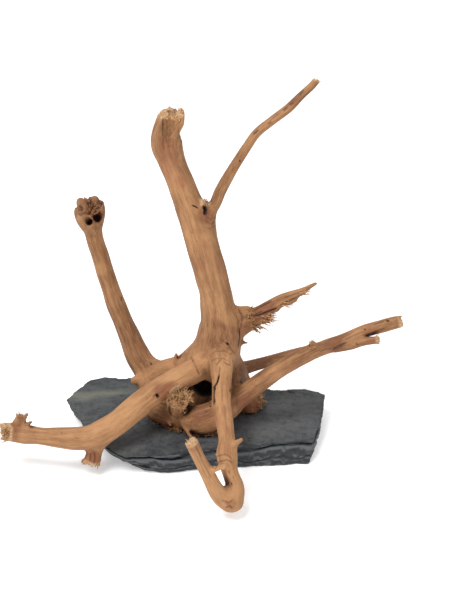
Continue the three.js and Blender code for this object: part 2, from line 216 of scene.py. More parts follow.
# %% The lines of the limbs
WOOD_SEAT = 15.2
LIMBS = {
    "trunk": ([
        (8, -3, 45, 11.5), (12.2, -6, 55, 12.8), (13.2, -7, 66, 13.8), (13.8, -7, 76, 12),
        (12.4, -6, 89, 10.3), (8.5, -5, 108, 9.5), (3.5, -3, 127.4, 9.6), (-2.6, 0, 146, 8.6),
        (-7.5, 2, 160, 7.5), (-11, 3, 169.3, 7.3), (-14.3, 4, 178, 8), (-16.6, 4, 186, 9.1),
        (-16.7, 3, 193, 7.8), (-13.4, 1, 201, 7.5), (-12.4, 0.5, 207, 7.2),
    ], 6, 0.55),
    "twig": ([
        (4.5, -1.5, 122, 5), (6, -1.5, 132, 5.4), (7.2, -1, 141, 4.7), (9, -0.5, 147, 3.9),
        (11.6, 0, 151.5, 3.5), (13.9, 2, 157, 3.5), (17.6, 5, 163.5, 3.3), (24.6, 10, 174, 2.9),
        (30, 13, 181.8, 2.7), (35.4, 16, 188.6, 2.6), (44.4, 20, 194.9, 2.6), (54.1, 23, 201.6, 2.6),
        (61.9, 26, 208.6, 2.5), (67.6, 28, 213.5, 2.4), (71, 30, 217, 2.2),
    ], 3, 0.42),
    "left_back": ([
        (-17, 2, 20, 9.5), (-25.5, 9, 26, 9), (-31.2, 14, 33, 8.2), (-37.6, 18, 41, 7.6),
        (-43.5, 22, 55, 6.7), (-52.6, 28, 77, 5.9), (-60.6, 32, 104, 5.4), (-64.1, 33, 121, 5.9),
        (-65, 33, 127.5, 8), (-65.2, 33, 133, 9.5), (-65.2, 33, 137, 9),
    ], 7, 0.4),
    "left_front": ([
        (6.5, -14, 54, 8), (-4.2, -20, 50, 7.4), (-14.8, -25, 46.3, 6.9), (-22.6, -29, 43.2, 6.8),
        (-34.1, -36, 37.2, 7.2), (-44.9, -44, 31.3, 7), (-56.6, -50, 26.4, 7), (-67, -52, 24.3, 6.7),
        (-79, -52, 24.3, 6), (-92.6, -50, 24.4, 5.2), (-101.2, -48, 24.6, 5.8), (-109, -46.5, 25, 5.3),
        (-113, -46, 25.4, 5),
    ], 6, 0.75),
    "left_spur": ([
        (-56.5, -49.5, 25, 5.6), (-58.8, -51.5, 18, 4.6), (-60.8, -53.3, 10.6, 4.9), (-61.4, -53.9, 7, 5),
    ], 5, 0.6),
    "front": ([
        (14.6, -12, 62, 9), (14.5, -20, 59, 7.8), (14.8, -28, 55.4, 6.7), (15.2, -38, 51.2, 5.6),
        (15.4, -50, 46.4, 5.4), (17, -64, 40.9, 5), (18.2, -75, 36.2, 4.9), (17.9, -83, 31.6, 6),
        (20.3, -90, 24.5, 4.7), (23.2, -96, 17.4, 5), (22.4, -99, 11, 5.2),
    ], 5, 0.7),
    "hook": ([
        (19, -99.5, 12, 5.6), (16.2, -100, 14.2, 5.2), (12.7, -101, 19.5, 4.7), (7.4, -102, 32, 3.8),
        (3.2, -103, 42.3, 3.4), (-0.6, -104, 52.5, 3.5), (-1.6, -104.3, 55.5, 3.6),
    ], 4, 0.72),
    "broken": ([
        (24, -4, 75.5, 8.6), (30.3, -5, 78.2, 6.9), (37.1, -6, 81.9, 5.5), (42.6, -7, 87.2, 4.3),
        (50.2, -8, 92.6, 3.8), (56.8, -9, 96.1, 3.3), (63.1, -9.5, 99.8, 1.9), (70.3, -10, 104.6, 1.1),
    ], 5, 0.45),
    "right_stub": ([
        (84, -9.5, 62.5, 3.4), (93, -11, 65, 3.1), (99.5, -12, 67.2, 2.5), (110, -14, 69.6, 2.2),
    ], 3, 0.42),
    "back_right": ([
        (16, 5, 36.5, 6.2), (25.9, 14, 34.8, 4.8), (32.4, 19, 34, 4.1), (39.9, 24, 33.5, 3.9),
        (53.5, 32, 33.8, 3.6), (64.6, 38, 34.4, 3.2), (73, 42, 34.8, 2.8),
    ], 5, 0.35),
    "left_foot": ([
        (-27, 6, 23, 8.6), (-27.5, -4, 20, 7.4), (-21, -15, 19.8, 8), (-12, -21.5, 19.4, 7.4), (-6, -24, 18.6, 6.4),
    ], 6, 0.35),
    "back_foot": ([(8, -2, 46, 10), (5, 6, 30, 9.5), (2, 9, 14, 11.5)], 7, 0.3),
    "heel": ([(20, -2, 42, 8.4), (20, -14, 37, 8.2), (19, -25, 31.4, 7.6)], 6, 0.3),
    "right_foot": ([(15, -3, 50, 9), (24, 0, 34, 8), (29, 0, 22, 8), (31, -1, 13, 8.4)], 7, 0.35),
    "shoulder": ([(4, -5, 54, 10), (-8, 1, 43.4, 7.8), (-19, 6, 37.2, 8.1), (-27, 10, 29, 9)], 7, 0.5),
    "right_long": ([
        (-3, -29, 23, 7.6), (3, -29.5, 24.4, 9.6), (10, -28, 26.4, 9.3), (19, -26, 31, 7.4),
        (26, -23.5, 35.5, 6.4), (38, -20, 43.7, 5.6), (50, -17, 51.3, 5.1), (61, -14, 57, 5.1),
        (73.5, -11, 61.4, 4.6), (86, -9, 65.4, 4.4), (101, -6, 71.4, 4.1), (110, -4.5, 73.8, 4),
        (119, -2.5, 75.4, 4), (126, -1, 76, 3.8),
    ], 1.6, 0.42),
    "frayed_stub": ([(-12.8, -20, 23, 5.6), (-11.6, -26.5, 31.5, 6), (-10.4, -33, 41.6, 6)], 1.6, 0.6),
    "fork_stub": ([(4.2, -3, 146, 3.4), (4.9, -3, 150.5, 2.6), (5.4, -3, 154.6, 1.7)], 2.5, 0.4),
    "shoulder_bud": ([(-13.5, -2, 48.5, 1.8), (-13.2, -2, 53.4, 1.2)], 1.5, 0.5),
    "left_nub": ([(-33, 8, 31, 3.2), (-39.5, 6, 31, 2.6)], 2, 0.8),
    "knee_spur": ([(20, -80, 35.5, 2.4), (26.4, -81, 40.6, 1.2)], 2.5, 0.75),
    "cross_peg": ([(8.5, -102.5, 33.6, 1.8), (18.2, -105, 38.7, 1.2)], 1.5, 0.9),
    "rootlet_a": ([(-19, -23, 21, 1.3), (-16, -30, 20, 1)], 1.5, 0.9),
    "rootlet_b": ([(-8, -32, 22.4, 1.4), (-4.6, -38.5, 18.8, 1.1), (-1, -44, 17, 1.5)], 1.5, 0.4),
    "thorn": ([(24.5, -7.5, 64, 1.5), (30, -8, 64.5, 0.8)], 1.5, 0.4),
    "frayed_knot": ([(66, -12.5, 59, 3), (70, -12.5, 66.6, 1.3)], 2.5, 0.6),
    "rim_splinter": ([(-8.5, 2, 199, 2.4), (-7.6, 1.5, 207.5, 1.0)], 2, 0.8),
    "knob_lobe_left": ([(-68, 31, 131, 3.6), (-70.5, 31, 140, 2.6)], 1.5, 0.5),
    "knob_lobe_back": ([(-63, 36, 131, 4), (-62.5, 36, 139.5, 2.8)], 1.5, 0.5),
    "tip_tuft": ([(-106, -47, 25.5, 3.6), (-105.6, -47.3, 31, 2.6), (-103.2, -47.5, 36.4, 1.5)], 2, 0.6),
    "tip_thin": ([(-103.5, -47.5, 28, 2.2), (-101, -47.8, 34, 1.4), (-98.6, -48, 38, 1.0)], 1.5, 0.6),
    "tip_side": ([(-102, -48, 29, 1.5), (-96.6, -48.5, 33, 0.9)], 1.5, 0.6),
    "tip_upper": ([(-107, -46.5, 26, 3.6), (-111.5, -46.3, 28.5, 2.4), (-115, -46, 29, 1.4)], 2, 0.6),
    "tip_lower": ([(-107, -46.5, 23.5, 3.4), (-111, -46.5, 21.6, 2.2), (-114, -46, 21, 1.3)], 2, 0.6),
    "spur_horn": ([(-60.5, -53.5, 10.5, 2.8), (-67, -54.5, 9.6, 1.3)], 2, 0.7),
    "broken_back": ([(30, -3, 84.2, 2.4), (24, -5, 85.6, 1.6)], 2, 0.5),
    "broken_low": ([(35, -8, 80.4, 2.6), (43.9, -10, 81.4, 0.9)], 2, 0.5),
    "broken_mid": ([(37, -9, 85, 2.4), (48.3, -10.5, 87.5, 0.9)], 2, 0.5),
    "broken_far": ([(49, -9, 91, 2), (58.8, -10.5, 93.6, 0.9)], 2, 0.5),
}
print(len(LIMBS), "limbs")

# %% [markdown]
# A limb's line is drawn as a smooth curve, and a cross is carried along it that turns as little as it can.
# With the distance along the curve, that gives each place in a limb its own straightened coordinates:
# how far along, and how far to either side. The grain follows them round every bend, with no seam.

# %% Curves with a cross that travels along them
STATION_STEP = 2.5


def curve_through(points):
    """A smooth curve through the points, as stations of x, y, z and radius."""
    given = np.array(points, float)
    knots = np.vstack((2 * given[0] - given[1], given, 2 * given[-1] - given[-2]))
    stations = []
    for a, b, c, d in zip(knots, knots[1:], knots[2:], knots[3:]):
        ab, bc, cd = (np.linalg.norm((q - p)[:3]) ** 0.5 for p, q in ((a, b), (b, c), (c, d)))
        steps = max(1, math.ceil(bc**2 / STATION_STEP))
        t = np.linspace(ab, ab + bc, steps, endpoint=False)[:, None]
        end = ab + bc + cd
        first = (a * (ab - t) + b * t) / ab
        second = (b * (ab + bc - t) + c * (t - ab)) / bc
        third = (c * (end - t) + d * (t - ab - bc)) / cd
        early = (first * (ab + bc - t) + second * t) / (ab + bc)
        late = (second * (end - t) + third * (t - ab)) / (bc + cd)
        stations.append((early * (ab + bc - t) + late * (t - ab)) / bc)
    return np.vstack((*stations, given[-1:]))


def with_cross(stations):
    """The curve with its length so far, and two directions across it, at every station."""
    steps = np.diff(stations[:, :3], axis=0)
    lengths = np.linalg.norm(steps, axis=1)
    tangents = np.vstack((steps / lengths[:, None], steps[-1:] / lengths[-1]))
    side = np.cross(tangents[0], (0.3, 1.0, 0.2))
    sides = []
    for tangent in tangents:
        side = side - side.dot(tangent) * tangent
        side /= np.linalg.norm(side)
        sides.append(side)
    sides = np.array(sides)
    return {
        "stations": stations,
        "along": np.concatenate(((0,), np.cumsum(lengths))),
        "side": sides,
        "other": np.cross(tangents, sides),
    }


curves = {name: with_cross(curve_through(points)) for name, (points, web, tone) in LIMBS.items()}
print("all limbs together are %.0f mm long" % sum(c["along"][-1] for c in curves.values()))

# %% [markdown]
# ## Broken ends and hollows
# A broken root doesn't end in a dome. Each end is cut by a plane whose height changes quickly from fibre to
# fibre, so that the end is ragged along the grain. Rotted pockets and the scooped top of the stem
# are rods of air, taken out of their own limb only.

# %% Where limbs break off, and what has rotted out
BREAKS = {  # limb: a point on the break, the way it faces, how ragged it is
    "trunk": ((-13, 1, 205.2), (0.02, -0.1, 1), 2.0),
    "twig": ((70.2, 29.4, 216), (0.52, 0.27, 0.8), 0.7),
    "left_back": ((-65.2, 33, 136.2), (-0.1, -0.35, 1), 1.7),
    "left_front": ((-110.5, -46.3, 25.2), (-1, 0.05, 0.1), 3.2),
    "left_spur": ((-61, -53.6, 8.4), (-0.3, -0.15, -0.94), 1.8),
    "hook": ((-1, -104.1, 53.4), (-0.35, -0.25, 0.9), 1.2),
    "right_long": ((122.6, -1.6, 75.6), (1, 0.15, 0.1), 2.0),
    "right_stub": ((108.6, -13.6, 69.3), (0.95, -0.1, 0.2), 1.6),
    "back_right": ((71.6, 41, 34.8), (0.88, 0.45, 0.05), 1.2),
    "frayed_stub": ((-10.7, -32.3, 40.4), (0.05, -0.6, 0.8), 2.4),
    "fork_stub": ((5.3, -3, 153.2), (0.1, -0.2, 1), 1.4),
    "cross_peg": ((17.6, -105, 38.3), (0.9, -0.2, 0.4), 0.5),
}
HOLLOWS = {  # limb: rods of x, y, z and radius
    "trunk": [[
        (-10.2, -6.6, 212, 7.2), (-11.2, -6.6, 203, 6.6), (-12.6, -6.4, 195, 5.2),
        (-12.6, -6.9, 187, 3.4), (-11, -7.6, 179, 1.2),
    ]],
    "left_back": [
        [(-59, 24, 134.5, 3.4), (-62, 31, 129, 2)],
        [(-66, 22.5, 131.5, 2.4), (-65, 30, 127, 1.6)],
        [(-70.5, 26, 136, 2.2), (-68, 32, 130, 1.6)],
        [(-66, 31, 142, 3.2), (-65, 33, 133, 2)],
    ],
    "knob_lobe_left": [[(-71, 27.5, 140.5, 1.9), (-70, 30, 135, 1.2)]],
    "frayed_stub": [[(-17.5, -29, 36, 3), (-15.5, -27, 27, 2)]],
}
CAVE = (  # the rotted hollow between the crown and the bulb
    ((2, -22, 36, 6.5), (3, -12, 34, 8.5), (4, -2, 33, 8)),
    ((-12, -20, 33, 5), (-6, -12, 33, 6.5)),
)
PILOT_HOLE = ((4, 10, 8, 2.35), (4, 10, 28.4, 2.35))
SLATE_EDGE_Y = -48  # in front of this the wood hangs past the slate
FIBRE = 1.5  # the width of a bundle of fibres that breaks together
BREAK_REACH = 18.0  # how far from its point a break still cuts
CAVE_BLEND, PILOT_BLEND = 1.5, 0.2  # how soft the rims of the rotted hollow and of the screw's hole are


def ragged(x, y, z, facing, seed):
    """How far fibres stand out of a break, from -1 to 1. It changes only across the way the break faces."""
    facing = Vector(facing).normalized()
    first = facing.orthogonal().normalized()
    second = facing.cross(first)
    u, v = (x * d[0] + y * d[1] + z * d[2] for d in (first, second))
    u, v = np.broadcast_arrays(u, v)
    return noise(np.stack((u, v, np.zeros_like(u)), -1) / FIBRE, seed, 2)


# %% [markdown]
# The field is worked out on a grid of just under 1 mm, only near each limb. That spacing keeps the skin under
# 200,000 triangles, and finer relief is added where it is wanted.

# %% The distance field
GRID_STEP = 0.96
REACH = 8.0  # how far from its skin a limb is worked out
FAR = 50.0
ORIGIN = np.array((-124.0, -116.0, 0.0))
CORNER = np.array((134.0, 53.0, 226.0))
axes = [np.arange(start, stop, GRID_STEP, dtype=np.float32) for start, stop in zip(ORIGIN, CORNER)]


def window(low, high):
    """The part of the grid between two corners, as slices."""
    start = np.maximum(0, (low - ORIGIN) / GRID_STEP).astype(int)
    stop = ((high - ORIGIN) / GRID_STEP).astype(int) + 2
    return tuple(slice(a, b) for a, b in zip(start, stop))


def places_in(where):
    """The coordinates of that part of the grid, ready to be combined."""
    return [
        axis[cut].reshape([-1 if n == own else 1 for n in range(3)])
        for own, (axis, cut) in enumerate(zip(axes, where))
    ]


def overlap(where, near):
    """What two windows share: the window itself, and the same as slices of the part worked out in each."""
    starts = [max(a.start, b.start) for a, b in zip(where, near)]
    stops = [max(start, min(a.stop, b.stop)) for start, a, b in zip(starts, where, near)]
    common = tuple(map(slice, starts, stops))
    inside = [tuple(slice(c.start - w.start, c.stop - w.start) for c, w in zip(common, of)) for of in (where, near)]
    return common, *inside


def rods(stations, reach=REACH):
    """The distance from the skin of a chain of tapering rods, and the window that it was worked out in."""
    margin = stations[:, 3].max() + reach
    where = window(stations[:, :3].min(0) - margin, stations[:, :3].max(0) + margin)
    part = np.full([len(axis[cut]) for axis, cut in zip(axes, where)], FAR, np.float32)
    for a, b in zip(stations, stations[1:]):
        margin = max(a[3], b[3]) + reach
        near = window(np.minimum(a, b)[:3] - margin, np.maximum(a, b)[:3] + margin)
        x, y, z = (p - a[n] for n, p in enumerate(places_in(near)))
        dx, dy, dz, dr = b - a
        share = np.clip((x * dx + y * dy + z * dz) / (dx * dx + dy * dy + dz * dz), 0, 1)
        away = np.sqrt((x - share * dx) ** 2 + (y - share * dy) ** 2 + (z - share * dz) ** 2)
        mine = overlap(where, near)[1]
        part[mine] = np.minimum(part[mine], away - a[3] - share * dr)
    return part, where


def blended(a, b, width):
    """The nearer of two skins, with a soft web of this width where they meet."""
    near = np.maximum(width - np.abs(a - b), 0) / width
    return np.minimum(a, b) - near * near * width / 4


def carve(part, where, stations, width=1.0):
    """Takes a chain of rods out of part."""
    air, near = rods(np.array(stations, float), 4)
    _, mine, theirs = overlap(where, near)
    part[mine] = -blended(-part[mine], air[theirs], width)


field = np.full([len(axis) for axis in axes], FAR, np.float32)
for seed, (name, curve) in enumerate(curves.items()):
    part, where = rods(curve["stations"])
    if name in BREAKS:
        point, facing, height = BREAKS[name]
        near = window(np.array(point) - BREAK_REACH, np.array(point) + BREAK_REACH)
        common, mine, theirs = overlap(where, near)
        x, y, z = (p - c for p, c in zip(places_in(common), point))
        way = np.array(facing) / np.linalg.norm(facing)
        plane = x * way[0] + y * way[1] + z * way[2] - height * ragged(x, y, z, facing, seed)
        part[mine] = np.maximum(part[mine], plane)
    for hollow in HOLLOWS.get(name, ()):
        carve(part, where, hollow)
    field[where] = blended(field[where], part, LIMBS[name][1])
everything = tuple(slice(0, len(axis)) for axis in axes)
for hollow in CAVE:
    carve(field, everything, hollow, CAVE_BLEND)
carve(field, everything, PILOT_HOLE, PILOT_BLEND)
x, y, z = places_in(everything)
field = np.where(y > SLATE_EDGE_Y, np.maximum(field, WOOD_SEAT - z), field).astype(np.float32)
print("a field of", field.shape, "places")

# %% [markdown]
# The skin lies where the distance is zero. One point goes in each cell of the grid that the skin passes
# through, at the middle of its crossings, and each crossed edge of the grid joins four of them. This gives
# even quads and a closed surface with a short rule. Two rounds of smoothing, each one in and one out,
# remove the stair steps and keep the thickness.

# %% From the field to a skin
CUBE = list(itertools.product((0, 1), repeat=3))
SMOOTHING = (0.5, -0.52, 0.4, -0.42)


def crossings_in(field):
    """The grid cells that the skin passes through, and the middle of the crossings on each one's edges."""
    inside = field < 0
    sizes = [n - 1 for n in field.shape]
    blocks = [tuple(slice(c, c + n) for c, n in zip(corner, sizes)) for corner in CUBE]
    count = sum(inside[block].astype(np.uint8) for block in blocks)
    crossed = (count > 0) & (count < 8)
    cells = np.argwhere(crossed)
    values = [field[tuple((cells + corner).T)] for corner in CUBE]
    total, crossings = np.zeros((len(cells), 3)), np.zeros((len(cells), 1))
    for one, two in itertools.combinations(range(8), 2):
        start, step = np.array(CUBE[one]), np.array(CUBE[two]) - CUBE[one]
        if np.abs(step).sum() == 1:
            crosses = ((values[one] < 0) != (values[two] < 0))[:, None]
            rise = np.where(crosses[:, 0], values[one] - values[two], 1)
            total += crosses * (start + step * (values[one] / rise)[:, None])
            crossings += crosses
    return crossed, cells + total / crossings


def quads_between(inside, crossed):
    """A quad of cell numbers round each grid edge that the skin crosses, facing out."""
    number = np.full(crossed.shape, -1, np.int32)
    number[crossed] = np.arange(crossed.sum())
    quads = []
    for axis in range(3):
        u, v = (axis + 1) % 3, (axis + 2) % 3
        here = tuple(slice(0, -1) if n == axis else slice(None) for n in range(3))
        next_one = tuple(slice(1, None) if n == axis else slice(None) for n in range(3))
        edges = np.argwhere(inside[here] != inside[next_one])
        ring = []
        for across, up in ((-1, -1), (0, -1), (0, 0), (-1, 0)):
            cell = edges.copy()
            cell[:, u] += across
            cell[:, v] += up
            ring.append(number[tuple(cell.T)])
        ring = np.stack(ring, 1)
        inwards = ~inside[tuple(edges.T)]
        ring[inwards] = ring[inwards][:, ::-1]
        quads.append(ring)
    return np.vstack(quads)


def skin_of(field):
    """Points and quads of the surface where the field is zero."""
    crossed, middles = crossings_in(field)
    return ORIGIN + GRID_STEP * middles, quads_between(field < 0, crossed)


def edges_of(quads):
    """Each edge once, as two point numbers."""
    pairs = np.vstack([quads[:, [n, (n + 1) % 4]] for n in range(4)])
    return np.unique(np.sort(pairs, 1), axis=0)


def smoothed(points, edges, share):
    """Moves each point a share of the way to the middle of its neighbours."""
    both = np.vstack((edges, edges[:, ::-1]))
    count = np.bincount(both[:, 0], minlength=len(points))[:, None]
    middle = np.stack([np.bincount(both[:, 0], points[both[:, 1], n], len(points)) for n in range(3)], 1) / count
    return points + share * (middle - points)


def main_body(points, quads):
    """The largest connected piece alone."""
    label = np.arange(len(points))
    edges = edges_of(quads)
    while True:
        lower = label.copy()
        np.minimum.at(lower, edges[:, 0], label[edges[:, 1]])
        np.minimum.at(lower, edges[:, 1], label[edges[:, 0]])
        lower = lower[lower]
        if (lower == label).all():
            break
        label = lower
    kept = label == np.bincount(label).argmax()
    number = np.cumsum(kept) - 1
    return points[kept], number[quads[kept[quads[:, 0]]]]


skin_points, skin_quads = main_body(*skin_of(field))
skin_edges = edges_of(skin_quads)
for share in SMOOTHING:
    skin_points = smoothed(skin_points, skin_edges, share)
print("skin of", len(skin_points), "points and", len(skin_quads), "quads")

# %% [markdown]
# ## Cracks, pinholes and scars
# The photograph shows each of these at a pixel. A line of sight through that pixel meets the skin at one
# place, and the mark goes there. To have an edge of its own, a crack needs a finer mesh than the
# rest, so the faces near a mark are split twice before the skin is pressed in.
# A mark is a chain of pixels with its width, its depth and its darkness. The darkness is partly a dark stain in the
# crack and partly painted shade in its groove. A negative depth raises a welt.

# %% The marks, by pixel
MARKS = (  # width and depth in mm, darkness, pixels
    (0.8, 0.9, 1.0, ((227.2, 343.6), (228, 344.4))),
    (0.4, 0.4, 0.5, ((223, 341), (227.5, 344), (231, 349), (235, 354))),
    (0.4, 0.4, 0.6, ((222, 358), (219, 361.5), (216.5, 364.5))),
    (0.4, 0.4, 0.6, ((223.5, 361.5), (227, 364), (230, 365.5))),
    (0.6, 0.7, 0.8, ((239.2, 328), (240, 337), (239, 347))),
    (0.7, 0.6, 0.25, ((191, 357), (196, 366), (200, 375))),
    (0.7, 1.4, 1.0, ((218.7, 375), (217, 381), (214, 386))),
    (1.1, 2.2, 1.0, ((214, 386), (212.9, 390), (212.8, 396), (214, 404))),
    (0.6, 0.6, 0.5, ((220, 366), (219, 372), (218.7, 376))),
    (0.6, 0.5, 0.35, ((163.5, 118), (162.8, 132), (164, 150))),
    (0.45, 0.3, 0.2, ((174, 118), (173.5, 134), (173, 152))),
    (0.45, 0.3, 0.2, ((180, 116), (178.5, 130), (177, 148))),
    (0.6, -0.5, 0.3, ((181, 140), (181.6, 144), (181, 148))),
    (1.5, 2.6, 1.0, ((204.5, 207), (206, 210.5), (205.5, 213))),
    (0.6, 0.8, 0.8, ((192.5, 205.5), (195.5, 206.5), (198, 208))),
    (0.4, 0.35, 0.3, ((207, 217), (211, 220), (216, 216))),
    (0.4, 0.35, 0.3, ((206, 221), (212, 224.5), (217, 220))),
    (0.4, 0.3, 0.25, ((203, 226), (210, 229), (216, 225))),
    (0.45, -0.3, 0.0, ((211, 353), (217, 348.5), (225, 348), (232, 352))),
    (0.45, 0.4, 0.3, ((210, 356), (216, 351.5), (225, 351), (232, 355))),
    (0.45, -0.3, 0.0, ((210.5, 359), (216, 355), (224, 354.5), (231, 358.5))),
    (0.45, 0.4, 0.35, ((211, 362), (216, 358.5), (223, 358), (229.5, 361.5))),
    (0.45, -0.25, 0.0, ((212, 365), (217, 362), (222, 361.5), (227, 364))),
    (0.4, 0.35, 0.25, ((232, 360), (235.5, 366), (236.5, 374))),
    (0.4, 0.35, 0.3, ((229, 330), (226, 338), (220, 344))),
    (0.8, 0.6, 0.3, ((239, 309), (243, 318), (240.5, 330))),
    (0.6, 0.5, 0.3, ((236, 314), (239, 322), (237.5, 332))),
    (0.5, 0.7, 0.8, ((122, 297.5), (121.4, 300.5))),
    (0.6, 0.6, 0.9, ((151, 363.6), (151.6, 364.6))),
    (0.5, 0.5, 0.8, ((160.6, 356.8), (161.4, 357.4))),
    (0.5, 0.3, 0.3, ((88, 252), (93, 256))),
    (0.5, 0.6, 0.9, ((239.7, 160.6), (240.3, 161.6))),
    (0.8, 0.4, 0.7, ((254, 133.5), (258, 130.5))),
    (0.6, 0.4, 0.6, ((269, 123.6), (271, 122.4))),
    (0.7, 0.4, 0.7, ((284, 109.8), (287, 107.6))),
    (0.6, 0.4, 0.6, ((291, 104.6), (293, 103.2))),
    (0.8, 0.4, 0.6, ((300, 94), (303, 91))),
    (0.5, 0.3, 0.5, ((224, 196), (226.5, 190))),
    (0.5, 0.3, 0.4, ((232, 171), (234, 167))),
    (1.1, 1.8, 1.0, ((157, 395), (158, 396.6))),
    (0.5, 0.5, 0.6, ((153.5, 396.5), (155, 394.6))),
    (0.45, 0.6, 1.0, ((209.3, 401.7), (209.7, 402.3))),
    (0.45, 0.6, 1.0, ((210.3, 405.7), (210.7, 406.3))),
    (0.45, 0.5, 0.7, ((206, 411), (206.5, 411.6))),
    (1.2, 2.0, 1.0, ((231.6, 390.6), (232.6, 391.6))),
    (0.5, 0.6, 0.9, ((364.6, 329.2), (365.4, 329.8))),
    (0.8, 0.9, 1.0, ((387.2, 320.2), (388.4, 320.6))),
    (0.5, 0.5, 0.8, ((356.6, 343.8), (357.4, 344.4))),
    (0.6, 0.4, 0.6, ((374, 324.5), (379, 322.4), (384, 321))),
    (1.0, 0.7, 0.6, ((333, 349.5), (339, 346.5), (346, 343))),
    (0.6, 0.5, 0.5, ((320, 352), (326, 349.6), (331, 348.4))),
    (0.5, 0.4, 0.4, ((346, 339), (356, 334.5), (366, 331))),
    (0.5, 0.4, 0.4, ((300, 357), (310, 351.5), (318, 348))),
    (0.5, 0.4, 0.5, ((368, 336), (376, 331.5), (386, 328))),
    (0.5, 0.5, 0.5, ((228.6, 471), (229.2, 473))),
    (0.4, 0.4, 0.5, ((233.4, 476), (233.8, 478))),
    (0.5, 0.4, 0.5, ((230.6, 483), (231.4, 485))),
    (0.5, -0.5, 0.0, ((212, 459), (218, 452), (226, 450.5), (233, 454))),
    (0.5, 0.5, 0.35, ((211, 463), (217, 456), (226, 454.5), (232, 458))),
    (0.5, 0.5, 0.35, ((214, 470), (219, 462), (227, 460), (233, 463))),
    (0.6, 0.5, 0.4, ((225, 501), (229, 503), (233, 500))),
    (0.6, 0.6, 0.5, ((226, 508), (229.5, 506), (232, 509))),
    (0.45, 0.4, 0.3, ((198, 452), (204, 464), (211, 478))),
    (0.45, 0.4, 0.3, ((194, 450), (200, 463), (207, 478))),
    (0.5, 0.4, 0.4, ((196, 447), (201, 456))),
    (0.6, 0.6, 0.5, ((94, 452), (95.5, 458), (94, 464))),
    (0.5, 0.5, 0.5, ((90, 454), (90, 460))),
    (0.45, 0.35, 0.25, ((236, 395), (238, 410), (238.5, 425))),
    (0.45, 0.35, 0.25, ((225, 405), (226, 420), (227, 438))),
    (0.4, 0.3, 0.25, ((220, 380), (222, 392), (222, 402))),
    (0.4, 0.3, 0.2, ((230, 376), (231, 390), (232, 404))),
    (0.5, 0.5, 0.5, ((263, 301), (272, 296), (281, 292.5))),
    (0.9, 1.0, 0.8, ((256, 316.5), (266, 312.5), (276, 308.6))),
    (0.6, 0.8, 0.6, ((250, 312), (260, 306.5), (271, 301))),
    (0.6, 0.8, 0.6, ((247, 320), (254, 316), (262, 311))),
    (0.5, 0.7, 0.6, ((280, 306), (288, 301.5), (296, 298))),
    (0.5, 0.6, 0.5, ((284, 298), (293, 294.5), (302, 291.5))),
)
MARK_REACH_PX = 5.0
SKIN_REACH_PX = 2.2  # how near a mark's line the front skin's depth is looked up
NARROW_END = 0.35  # the width of a mark at its ends, as a share of the rest
SIGHT_DEPTH = 5.0  # how far behind the front skin a mark may still reach, in mm


def normals_of(points, faces):
    """Smooth normals of a mesh of quads and triangles, worked out by Blender."""
    mesh = bpy.data.meshes.new("measure")
    mesh.from_pydata(points, [], faces)
    normals = np.empty(len(points) * 3, np.float32)
    mesh.vertex_normals.foreach_get("vector", normals)
    bpy.data.meshes.remove(mesh)
    return normals.reshape(-1, 3).astype(float)


def facing_camera(points, normals):
    """True for points whose skin looks towards the photograph's camera."""
    away = points - CAMERA_AT
    return (away * normals).sum(1) < 0.1 * np.linalg.norm(away, axis=1)


def sight_of(marks, points, normals):
    """Each mark with the points it can reach: their numbers, and their distance from its line in mm."""
    pixels, depth = seen_at(points)
    front = np.flatnonzero(facing_camera(points, normals))
    at, deep = pixels[front], depth[front]
    reached = []
    for mark in marks:
        line = np.array(mark[-1], float)
        close = ((at > line.min(0) - MARK_REACH_PX) & (at < line.max(0) + MARK_REACH_PX)).all(1)
        some, spot, far = front[close], at[close], deep[close]
        best = np.full(len(some), FAR)
        surface = np.full(len(some), FAR)
        for a, b in zip(line, line[1:]):
            share = np.clip(((spot - a) @ (b - a)) / ((b - a) @ (b - a)), 0, 1)
            off = np.linalg.norm(spot - a - share[:, None] * (b - a), axis=1)
            near = np.linalg.norm(spot[:, None] - np.stack((a, (a + b) / 2, b)), axis=2) < SKIN_REACH_PX
            skin = [far[n].min() if n.any() else np.inf for n in near.T]
            here = np.where(share < 0.25, skin[0], np.where(share < 0.75, skin[1], skin[2]))
            surface = np.where(off < best, here, surface)
            best = np.minimum(best, off)
        ends = np.minimum(*(np.linalg.norm(spot - line[n], axis=1) for n in (0, -1)))
        if len(line) > 2:
            taper = max(2.5, 0.25 * np.linalg.norm(line[-1] - line[0]))
            best = best / np.clip(NARROW_END + ends / taper, NARROW_END, 1)
        seen = far < surface + SIGHT_DEPTH
        reached.append((mark, some[seen], (best * far / FOCAL_PIXELS)[seen]))
    return reached


# %% [markdown]
# Splitting is done on the faces round the marks alone, first wide and then close to each line.

# %% Refine the skin near the marks


def split_near(points, faces, wanted):
    """The mesh with every face that touches a wanted point split in four."""
    mesh = bpy.data.meshes.new("measure")
    mesh.from_pydata(points.tolist(), [], faces)
    shape = bmesh.new()
    shape.from_mesh(mesh)
    bpy.data.meshes.remove(mesh)
    shape.verts.ensure_lookup_table()
    edges = {edge for n in wanted for face in shape.verts[n].link_faces for edge in face.edges}
    edges = sorted(edges, key=lambda edge: edge.index)
    bmesh.ops.subdivide_edges(shape, edges=edges, cuts=1, use_grid_fill=True, smooth=0.0)
    shape.verts.index_update()
    points = np.array([vert.co[:] for vert in shape.verts])
    faces = [[vert.index for vert in face.verts] for face in shape.faces]
    shape.free()
    return points, faces


SPLITS = ((0.7, 0.0), (0.15, 0.75))  # how far from a line in mm, and the darkness of the faintest mark that counts
skin_faces = skin_quads.tolist()
for reach, faintest in SPLITS:
    sights = sight_of(MARKS, skin_points, normals_of(skin_points, skin_faces))
    near = [some[off < mark[0] + reach] for mark, some, off in sights if mark[2] >= faintest]
    skin_points, skin_faces = split_near(skin_points, skin_faces, np.unique(np.concatenate(near)).tolist())
triangles = sum(len(face) - 2 for face in skin_faces)
print(len(MARKS), "marks; the skin now has", triangles, "triangles")

